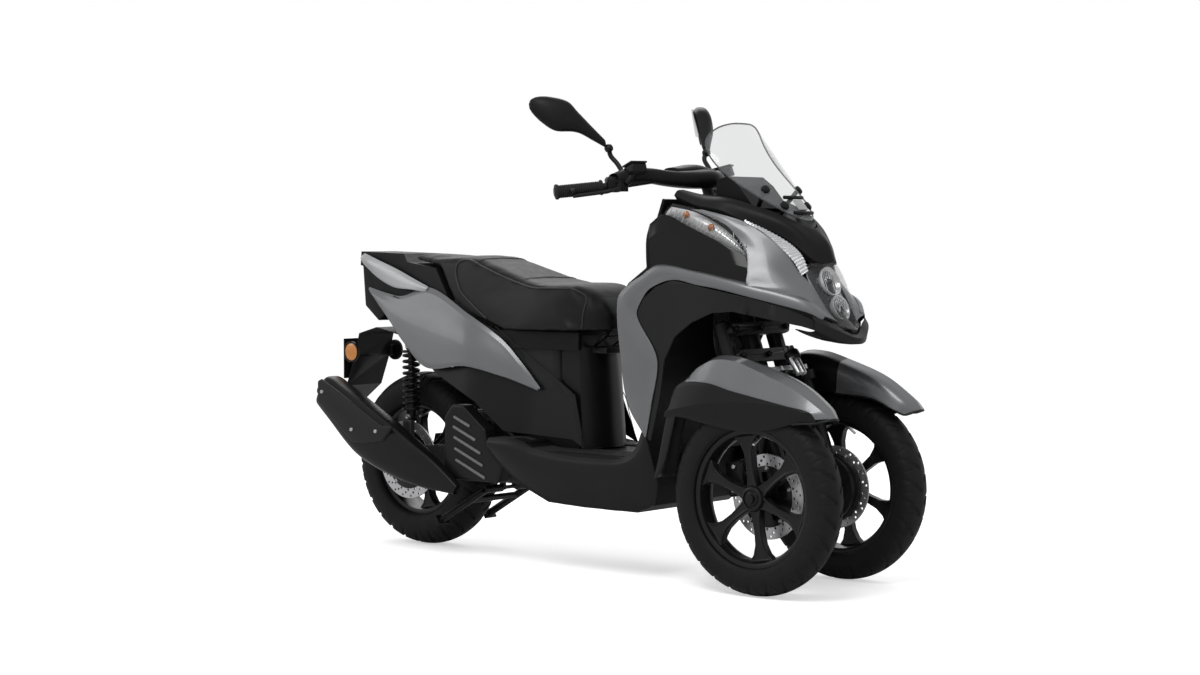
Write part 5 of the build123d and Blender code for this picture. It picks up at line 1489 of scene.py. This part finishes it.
# ---------------------------------------------------------------------------------------------
# Seat, rear body, drive, floor and stands
# ---------------------------------------------------------------------------------------------
@dataclass
class Seat:
    """Long padded seat in two steps, with piping and cross seams."""

    voxel: float = 6.0
    shrink: float = 4.0
    cap: float = 7.0
    pressure: float = 4.0
    piping: Sequence[Point] = ((-256, 142, 679), (-312, 134, 715), (-374, 125, 760), (-398, 108, 812),
                               (-390, 98, 838), (-349, 102, 846), (-290, 110, 828), (-212, 116, 802),
                               (-132, 121, 780), (-72, 124, 768), (10, 124, 768), (70, 112, 762),
                               (96, 106, 748), (101, 130, 700), (105, 140, 655))

    def pad(self) -> bpy.types.Object:
        """Foam block filled out by the cloth simulation."""
        obj = recast("seat", SEAT_SIDE)
        obj.name = "padded_seat"
        apply_modifier(obj, "REMESH", mode="VOXEL", voxel_size=self.voxel * MM)
        mesh = obj.data
        inward = [vertex.normal.copy() for vertex in mesh.vertices]
        for vertex, normal in zip(mesh.vertices, inward):
            if normal.z > -0.6:
                vertex.co -= normal * self.shrink * MM
        mesh.update()
        self.fill(obj)
        apply_modifier(obj, "SMOOTH", factor=0.5, iterations=20)
        apply_modifier(obj, "SUBSURF", levels=1, render_levels=1)
        return obj

    def fill(self, obj: bpy.types.Object) -> None:
        """Runs the cloth with inner pressure and limits how far it swells."""
        mesh = obj.data
        start = [vertex.co.copy() for vertex in mesh.vertices]
        pinned = [vertex.index for vertex in mesh.vertices if vertex.normal.z < -0.6]
        group = obj.vertex_groups.new(name="pan")
        group.add(pinned, 1.0, "REPLACE")
        cloth = obj.modifiers.new("cloth", "CLOTH")
        cloth.settings.use_pressure = True
        cloth.settings.uniform_pressure_force = self.pressure
        cloth.settings.effector_weights.gravity = 0
        cloth.settings.vertex_group_mass = group.name
        for number in range(1, 21):
            bpy.context.scene.frame_set(number)
        activate(obj)
        bpy.ops.object.modifier_apply(modifier=cloth.name)
        bpy.context.scene.frame_set(1)
        for vertex, was in zip(obj.data.vertices, start):
            move = vertex.co - was
            if move.length > self.cap * MM:
                vertex.co = was + move.normalized() * self.cap * MM
        obj.data.update()

    def trims(self, pad: bpy.types.Object) -> list[bpy.types.Object]:
        """Piping and seams laid on the finished pad.

        Args:
            pad: the filled pad.

        Returns:
            The piping of both sides and the cross seams.
        """
        lines: list[tuple[Sequence[Point], float, int]] = [(self.piping, 2.6, 1), (self.piping, 2.6, -1)]
        for x, z in ((-318, 848), (-140, 794)):
            line = [(x + 10 * abs(y) / 100, y, z + 14) for y in range(-110, 111, 20)]
            lines.append((line, 1.3, 1))
            lines.append(([(p[0] + 7, p[1], p[2]) for p in line], 1.0, 1))
        result = []
        for line, radius, side in lines:
            spots = curve_points([vec(p, side) for p in line], 60)
            laid = []
            for spot in spots:
                found, place, normal, _ = pad.closest_point_on_mesh(spot)
                laid.append(tuple((place + normal * 0.3 * radius * MM) / MM) if found else tuple(spot / MM))
            result.append(tube("seat_trim", laid, radius, PIPING, 1, 60, sides=2, straight=True))
        return result

    def build(self) -> None:
        """Builds the seat on its hinge."""
        pad = self.pad()
        trims = self.trims(pad)
        line = [Vector(p) for p in self.piping]

        def on_top(middle: Vector, normal: Vector) -> bool:
            near = min(line[4:13], key=lambda p: abs(p.x - middle.x))
            return middle.z > near.z - 2 and normal.z > 0.2

        repaint(dress(pad, SEAT_SIDE), SEAT_TOP, on_top)
        place_piece(smooth(pad, 60), "seat", ["seat"])
        latch = block("latch", (148, 0, 668), (10, 44, 30), FRAME_BLACK, 4)
        pan = block("pan", (-128, 0, 651), (352, 184, 17), MATTE_BLACK, 1.5)
        place_piece(join("seat_piping_and_catch", [*trims, latch, pan]), "seat")


WAIST_START = -330.0
WAIST_LENGTH = 300.0
WAIST_INSET = 0.40
WAIST_SLANT = 0.843
COVER_REAR = -10.0
COVER_FOOT = 330.0
COVER_RISE = 278.0
COVER_HOLD = 60.0
COVER_SHARE = 0.75
LUG_FOOT = 609.0
LUG_REAR = 95.0


def tucked(point: Point) -> Point:
    """Draws the side panels in towards the narrow waist between the knees."""
    x, y, z = point
    share = min(1.0, max(0.0, (x - WAIST_START) / WAIST_LENGTH))
    inset = WAIST_INSET * share * share * (3 - 2 * share) * abs(y)
    return (x - WAIST_SLANT * inset, y - inset if y > 0 else y + inset, z)


def waisted(point: Point) -> Point:
    """Narrows the cover under the seat's nose, and leaves its hinge lugs where they are."""
    x, y, z = point
    if z > LUG_FOOT and x > LUG_REAR or x < COVER_REAR:
        return point
    rise = min(1.0, max(0.0, (z - COVER_FOOT) / COVER_RISE))
    ahead = COVER_HOLD + (x - COVER_HOLD) * (0.5 - 0.14 * rise) - 12 * rise if x > COVER_HOLD else x
    return (ahead, y * COVER_SHARE, z)


@dataclass
class RearBody:
    """Tail panels, side panels, rail, mudguard and reflectors."""

    rail_top: Sequence[Point] = ((-500, 117, 768), (-560, 112, 789), (-640, 106, 818), (-720, 98, 842),
                                 (-790, 84, 861), (-826, 56, 862), (-836, 0, 862))
    rail_edge: Sequence[Point] = ((-500, 121, 762), (-560, 118, 778), (-640, 113, 800), (-720, 105, 824),
                                  (-795, 92, 846), (-836, 60, 850), (-846, 0, 851))
    rail_low: Sequence[Point] = ((-508, 121, 752), (-565, 121, 758), (-640, 117, 764), (-715, 108, 790),
                                 (-786, 92, 826), (-828, 60, 836), (-838, 0, 837))
    tail_top: Sequence[Point] = ((-752, 108, 763), (-666, 113, 745), (-605, 117, 739), (-496, 113, 765),
                                 (-335, 128, 696), (-187, 148, 627), (-90, 168, 558), (-8, 185, 491))
    tail_ridge: Sequence[Point] = ((-750, 113, 756), (-663, 120, 737), (-602, 125, 729), (-488, 125, 749),
                                   (-328, 140, 682), (-182, 158, 614), (-88, 176, 548), (-10, 187, 489))
    tail_middle: Sequence[Point] = ((-736, 119, 746), (-652, 130, 712), (-584, 140, 682), (-478, 150, 655),
                                    (-322, 162, 622), (-172, 174, 572), (-86, 181, 530), (-14, 188, 487))
    tail_low: Sequence[Point] = ((-722, 121, 734), (-640, 138, 668), (-566, 151, 604), (-461, 165, 536),
                                 (-304, 172, 546), (-151, 180, 519), (-84, 184, 502), (-18, 187, 484))
    seams: Sequence[Sequence[Point]] = (((-204, 153, 660), (-60, 172, 575), (104, 190, 476), (134, 196, 400),
                                         (160, 199, 326)),
                                        ((-640, 119, 738), (-560, 126, 722), (-500, 124, 742)))

    def rail(self) -> None:
        """Builds the broad grab rail that wraps the tail."""
        rails = [[*line, *[(x, -y, z) for x, y, z in reversed(line[:-1])]]
                 for line in (self.rail_top, self.rail_edge, self.rail_low)]
        rail = skin("wide_grab_rail", rails, BRIGHT_SILVER, 1, 110, 5, 6.0, 2.0, (-1, 0, 1))
        place_piece(rail, "root", ["grab_rail"])

    def mudguard(self) -> None:
        """Dresses the mudguard and adds its reflectors."""
        place_recast("rear_mudguard", MATTE_BLACK, "root")
        parts = []
        for side in Side:
            s = side.value
            parts.append(turned("bezel", ((0, -6), (29, -6), (31, -3), (31, 3), (28, 5), (27, 2), (0, 2)),
                                (-846, s * 92, 566), (0, s, 0), MATTE_BLACK, 48))
            parts.append(turned("amber", ((0, 5), (14, 4.6), (24, 3.4), (27.5, 1), (0, 1)),
                                (-846, s * 92, 566), (0, s, 0), REFLECTOR, 48))
            parts.append(block("arm", (-850, s * 78, 566), (22, 26, 34), MATTE_BLACK, 4))
        place_piece(join("side_reflectors", parts), "root")

    def build(self) -> None:
        """Builds the rear body."""
        for side in Side:
            s, node = side.value, f"{side.word}_side_panel"
            panel = smooth(moved(recast(node, BODY_BLACK), tucked, 3), 36)
            place_piece(panel, "root", [node])
            rails = (self.tail_top, self.tail_ridge, self.tail_middle, self.tail_low)
            tail = skin(f"{side.word}_silver_tail", rails, SILVER, s, 80, 6, 3.0, 1.0, (0, 1, 0.3), (1,))
            place_piece(moved(tail, tucked), "root", [f"{side.word}_tail_panel"])
            seams = [tube("seam", line, 1.4, DARK_GREY, s, 40, sides=2) for line in self.seams]
            place_piece(moved(join(f"{side.word}_panel_seams", seams), tucked), "root")
            strip = block(f"{side.word}_seat_rest", (-130, s * 109, 624), (400, 5, 50), MATTE_BLACK, 0.5)
            place_piece(strip, "root")
        place_recast("tail_cover", MATTE_BLACK, "root")
        cover = moved(recast("under_seat_cover", BODY_BLACK), waisted)
        shelf = block("shelf", (78, 0, 599), (98, 116, 18), BODY_BLACK, 3)
        back = block("back", (-4, 0, 490), (20, 172, 300), BODY_BLACK, 1)
        place_piece(smooth(join("waisted_under_seat_cover", [cover, shelf, back]), 36), "root",
                    ["under_seat_cover"])
        tub = moved(recast("storage_tub", DARK_GREY), lambda p: (p[0], p[1] * 0.95, p[2]))
        place_piece(tub, "root", ["storage_tub"])
        self.rail()
        self.mudguard()


@dataclass
class Drive:
    """Engine block, radiator cover and muffler."""

    shield: Sequence[Flat] = ((-838, 487), (-822, 494), (-762, 466), (-640, 404), (-566, 366), (-520, 366),
                              (-560, 322), (-640, 310), (-690, 312), (-838, 424))
    stations: Sequence[tuple[float, float, float, float]] = ((-843, 454, 30, 40), (-832, 456, 36, 49),
                                                             (-785, 426, 38, 57), (-673, 351, 38, 74),
                                                             (-595, 312, 38, 73), (-500, 270, 33, 62),
                                                             (-410, 236, 24, 46), (-335, 208, 16, 24),
                                                             (-306, 196, 12, 14))

    def engine(self) -> None:
        """Dresses the engine block and adds ribs and cover bolts."""
        place_piece(softened("engine_unit", CAST_GREY, 5.0, 3), "root", ["engine_unit"])
        ribs = [block("rib", (-232, 101, 262 + 22 * i), (150, 6, 7), CAST_GREY, 1.5) for i in range(7)]
        heads = [bolt("head", (x, 132, z), (0, 1, 0), 7) for x, z in
                 ((-300, 250), (-300, 330), (-420, 220), (-420, 310), (-540, 205), (-640, 215), (-660, 290),
                  (-560, 320))]
        rounds = [turned("round_cover", ((0, 9), (r - 14, 9), (r - 5, 6), (r, -2), (0, -2)), (x, 132, z),
                         (0, 1, 0), CAST_GREY, 56) for x, z, r in ((-352, 285, 46), (-598, 262, 44))]
        place_piece(join("engine_ribs_and_bolts", [*ribs, *heads, *rounds]), "root")

    def radiator(self) -> None:
        """Dresses the radiator cover and adds its slanted slats."""
        place_piece(softened("radiator_cover", BODY_BLACK, 4.0, 6), "root", ["radiator_cover"])
        slats = []
        for index, (low, high) in enumerate(((-345, -196), (-348, -205), (-350, -214), (-350, -236),
                                             (-344, -262))):
            z = 262 + 33 * index
            slats.append(block("slat", ((low + high) / 2 + 4, -187, z - 4), ((high - low) * 0.82, 9, 8),
                               SLAT_GREY, 3, (0, 22, 0)))
        place_piece(join("radiator_slats", slats), "root")

    def muffler(self) -> None:
        """Dresses the muffler and adds its heat shield, bolts and outlet."""
        body = loft("muffler_body", [((x, -200, z), (0, w, 0), (0.443 * h, 0, 0.896 * h))
                                     for x, z, w, h in self.stations], BODY_BLACK, 48, squareness=0.5)
        place_piece(body, "root", ["muffler"])
        plate = prism("plate", self.shield, -234, -243, DARK_GREY, 3, 0.97, 3)
        heads = [bolt("head", (x, -242, z), (0, -1, 0), 5.5) for x, z in
                 ((-815, 455), (-690, 350), (-590, 350))]
        outlet = turned("outlet", ((9, 0), (14, 0), (14, 22), (12, 24), (10, 24), (9, 20)), (-846, -200, 452),
                        (-1, 0, 0.2), FRAME_BLACK, 28)
        place_piece(join("muffler_shield", [plate, *heads, outlet]), "root")

    def build(self) -> None:
        """Builds the drive."""
        self.engine()
        self.radiator()
        self.muffler()


@dataclass
class RearShock:
    """Damper with its coil spring and eyes."""

    side: Side
    foot: Point = (-590, 96, 376)
    head: Point = (-590, 96, 606)
    coil_radius: float = 22.0
    wire: float = 4.6
    turns: int = 9

    def build(self) -> None:
        """Builds the shock in place of its plain solid."""
        s = self.side.value
        x, y, z = self.foot[0], s * self.foot[1], self.foot[2]
        top = self.head[2]
        core = turned("damper", ((0, 6), (14, 6), (16, 14), (16, 90), (14, 93), (9, 96), (9, 205), (0, 205)),
                      (x, y, z), (0, 0, 1), FRAME_BLACK, 32)
        cups = [turned("cup", ((10, at), (27, at), (28, at + 3), (27, at + 7), (10, at + 8)), (x, y, z),
                       (0, 0, 1), FRAME_BLACK, 36) for at in (28, 196)]
        line = []
        for step in range(self.turns * 20 + 1):
            a = 2 * pi * step / 20
            line.append((x + self.coil_radius * cos(a), y + self.coil_radius * sin(a),
                         z + 38 + 156 * step / (self.turns * 20)))
        coil = tube("coil", line, self.wire, BODY_BLACK, 1, 0, straight=True, sides=2)
        eyes = [turned("eye", ((8, -11), (15, -11), (16, -9), (16, 9), (15, 11), (8, 11)), (x, y, at),
                       (0, 1, 0), FRAME_BLACK, 32) for at in (z + 8, top - 12)]
        heads = [bolt("head", (x, y + s * 11, at), (0, s, 0), 9) for at in (z + 8, top - 12)]
        place_piece(join(f"{self.side.word}_coil_shock", [core, *cups, coil, *eyes, *heads]), "root",
                    [f"{self.side.word}_rear_shock"])


@dataclass
class Chassis:
    """Frame, floor and stands."""

    edge_top: Sequence[Point] = ((-188, 196, 352), (-100, 198, 352), (-20, 199, 334), (90, 199, 322),
                                 (200, 199, 319), (290, 199, 324), (340, 199, 350), (364, 199, 398))
    edge_roll: Sequence[Point] = ((-190, 203, 340), (-112, 206, 336), (-24, 207, 314), (90, 208, 303),
                                  (200, 208, 302), (300, 208, 308), (356, 207, 336), (382, 206, 390))
    edge_middle: Sequence[Point] = ((-192, 203, 332), (-126, 206, 304), (-34, 208, 262), (86, 209, 238),
                                    (200, 209, 236), (312, 208, 242), (378, 207, 270), (404, 205, 330))
    edge_low: Sequence[Point] = ((-194, 198, 327), (-138, 198, 276), (-62, 198, 228), (44, 198, 190),
                                 (170, 198, 184), (320, 198, 184), (402, 198, 206), (420, 198, 262))
    wing_edge: Sequence[Point] = ((-186, 194, 349), (-100, 196, 349), (-20, 197, 331), (70, 197, 322))

    def floor(self) -> None:
        """Dresses the floor and lays its ribbed mats."""
        place_recast("floorboard", MATTE_BLACK, "root")
        strips = []
        for s in (1, -1):
            for index in range(9):
                y = 76 + index * 13
                strips.append(block("strip", (166, s * y, 327), (330 - 6 * index, 7, 3.2), MAT, 1.2,
                                    segments=2))
        place_piece(join("floor_mats", strips), "root")
        for side in Side:
            rails = (self.edge_top, self.edge_roll, self.edge_middle, self.edge_low)
            edge = skin(f"{side.word}_floor_edge", rails, BODY_BLACK, side.value, 90, 6, 3.0, 1.0,
                        (0, 1, 0.2))
            place_piece(edge, "root")
            inner = [(x, 98, z) for x, _, z in self.wing_edge]
            wing = skin("wing", (self.wing_edge, inner), MATTE_BLACK, side.value, 40, 4, 4.0, 0.5, (0, 0, 1))
            lines = [[(x, y, z + 1) for x, _, z in self.wing_edge] for y in range(118, 192, 12)]
            ribs = [tube("rib", line, 2.6, MAT, side.value, 30, sides=2) for line in lines]
            riser = block("riser", (-60, side.value * 98, 338), (250, 5, 44), MATTE_BLACK, 0.5)
            place_piece(join(f"{side.word}_rear_step", [wing, riser, *ribs]), "root")
        wall = block("under_seat_wall", (56, 0, 625.5), (5, 214, 51), MATTE_BLACK, 0.5)
        place_piece(wall, "root")

    def build(self) -> None:
        """Builds the chassis."""
        place_recast("main_frame", FRAME_BLACK, "root")
        place_recast("centre_stand", FRAME_BLACK, "centre_stand")
        place_recast("side_stand", FRAME_BLACK, "side_stand")
        self.floor()


# ---------------------------------------------------------------------------------------------
# Studio
# ---------------------------------------------------------------------------------------------
@dataclass
class Studio:
    """Pale floor, plain light and the camera."""

    eye: Point = (4180, -4894, 915)
    target: Point = (54, 0, 631.6)
    lens: float = 69.0

    def floor(self) -> None:
        """Lays the pale floor, white to the camera away from the shadow."""
        deselect()
        bpy.ops.mesh.primitive_grid_add(x_subdivisions=4, y_subdivisions=4, size=60, location=(0, 0, -0.0005))
        floor = settle_place(added("studio_floor"))
        mat = bpy.data.materials.new("studio floor")
        mat.use_nodes = True
        shader = mat.node_tree.nodes["Principled BSDF"]
        shader.inputs["Base Color"].default_value = (0.94, 0.94, 0.94, 1)
        shader.inputs["Roughness"].default_value = 0.9
        shader.inputs["Specular IOR Level"].default_value = 0.1
        shader.inputs["Emission Color"].default_value = (1, 1, 1, 1)
        seen = mat.node_tree.nodes.new("ShaderNodeLightPath").outputs["Is Camera Ray"]
        lift = mat.node_tree.nodes.new("ShaderNodeMapRange")
        lift.inputs["To Max"].default_value = 0.48
        mat.node_tree.links.new(seen, lift.inputs["Value"])
        mat.node_tree.links.new(lift.outputs["Result"], shader.inputs["Emission Strength"])
        floor.data.materials.append(mat)

    def world(self) -> None:
        """Plain world light, pure white where it is seen or mirrored."""
        world = bpy.data.worlds.new("studio")
        bpy.context.scene.world = world
        world.use_nodes = True
        nodes, links = world.node_tree.nodes, world.node_tree.links
        back = nodes["Background"]
        seen = nodes.new("ShaderNodeLightPath")
        total = nodes.new("ShaderNodeMath")
        total.operation = "ADD"
        links.new(seen.outputs["Is Camera Ray"], total.inputs[0])
        links.new(seen.outputs["Is Glossy Ray"], total.inputs[1])
        both = nodes.new("ShaderNodeMath")
        both.operation = "ADD"
        both.use_clamp = True
        links.new(total.outputs[0], both.inputs[0])
        links.new(seen.outputs["Is Transmission Ray"], both.inputs[1])
        level = nodes.new("ShaderNodeMapRange")
        level.inputs["To Min"].default_value = 0.56
        level.inputs["To Max"].default_value = 1.0
        links.new(both.outputs[0], level.inputs["Value"])
        links.new(level.outputs["Result"], back.inputs["Strength"])
        back.inputs["Color"].default_value = (1, 1, 1, 1)

    def lamp(self, name: str, place: Point, size: float, power: float) -> None:
        """Adds a square lamp that looks at the middle of the vehicle."""
        data = bpy.data.lights.new(name, "AREA")
        data.size, data.energy = size * MM, power
        obj = bpy.data.objects.new(name, data)
        obj.location = vec(place)
        aim = vec((0, 0, 550)) - obj.location
        obj.rotation_euler = aim.to_track_quat("-Z", "Y").to_euler()
        bpy.context.scene.collection.objects.link(obj)

    def camera(self) -> None:
        """Sets the camera at its place and angle."""
        data = bpy.data.cameras.new("camera")
        data.lens, data.sensor_width = self.lens, 36.0
        obj = bpy.data.objects.new("camera", data)
        obj.location = vec(self.eye)
        obj.rotation_euler = (vec(self.target) - obj.location).to_track_quat("-Z", "Y").to_euler()
        bpy.context.scene.collection.objects.link(obj)
        bpy.context.scene.camera = obj

    def build(self) -> None:
        """Builds the studio."""
        self.floor()
        self.world()
        self.lamp("key", (1400, -3000, 4400), 2200, 120)
        self.lamp("fill", (-2600, 2400, 3600), 3000, 60)
        self.lamp("side", (-3600, -2800, 2200), 1600, 14)
        self.camera()
        bpy.context.scene.view_settings.view_transform = "Standard"


def main() -> None:
    """Builds every sub-assembly in order."""
    logging.basicConfig(level=logging.INFO, format="%(name)s: %(message)s")
    Studio().build()
    Wheels().build()
    for side in Side:
        Knuckle(side).build()
        RearShock(side).build()
    for part in (Linkage(), Chassis(), Drive(), FrontBody(), Lamps(), Screen(), Cockpit(), RearBody(),
                 Seat()):
        part.build()


if __name__ == "__main__":
    main()
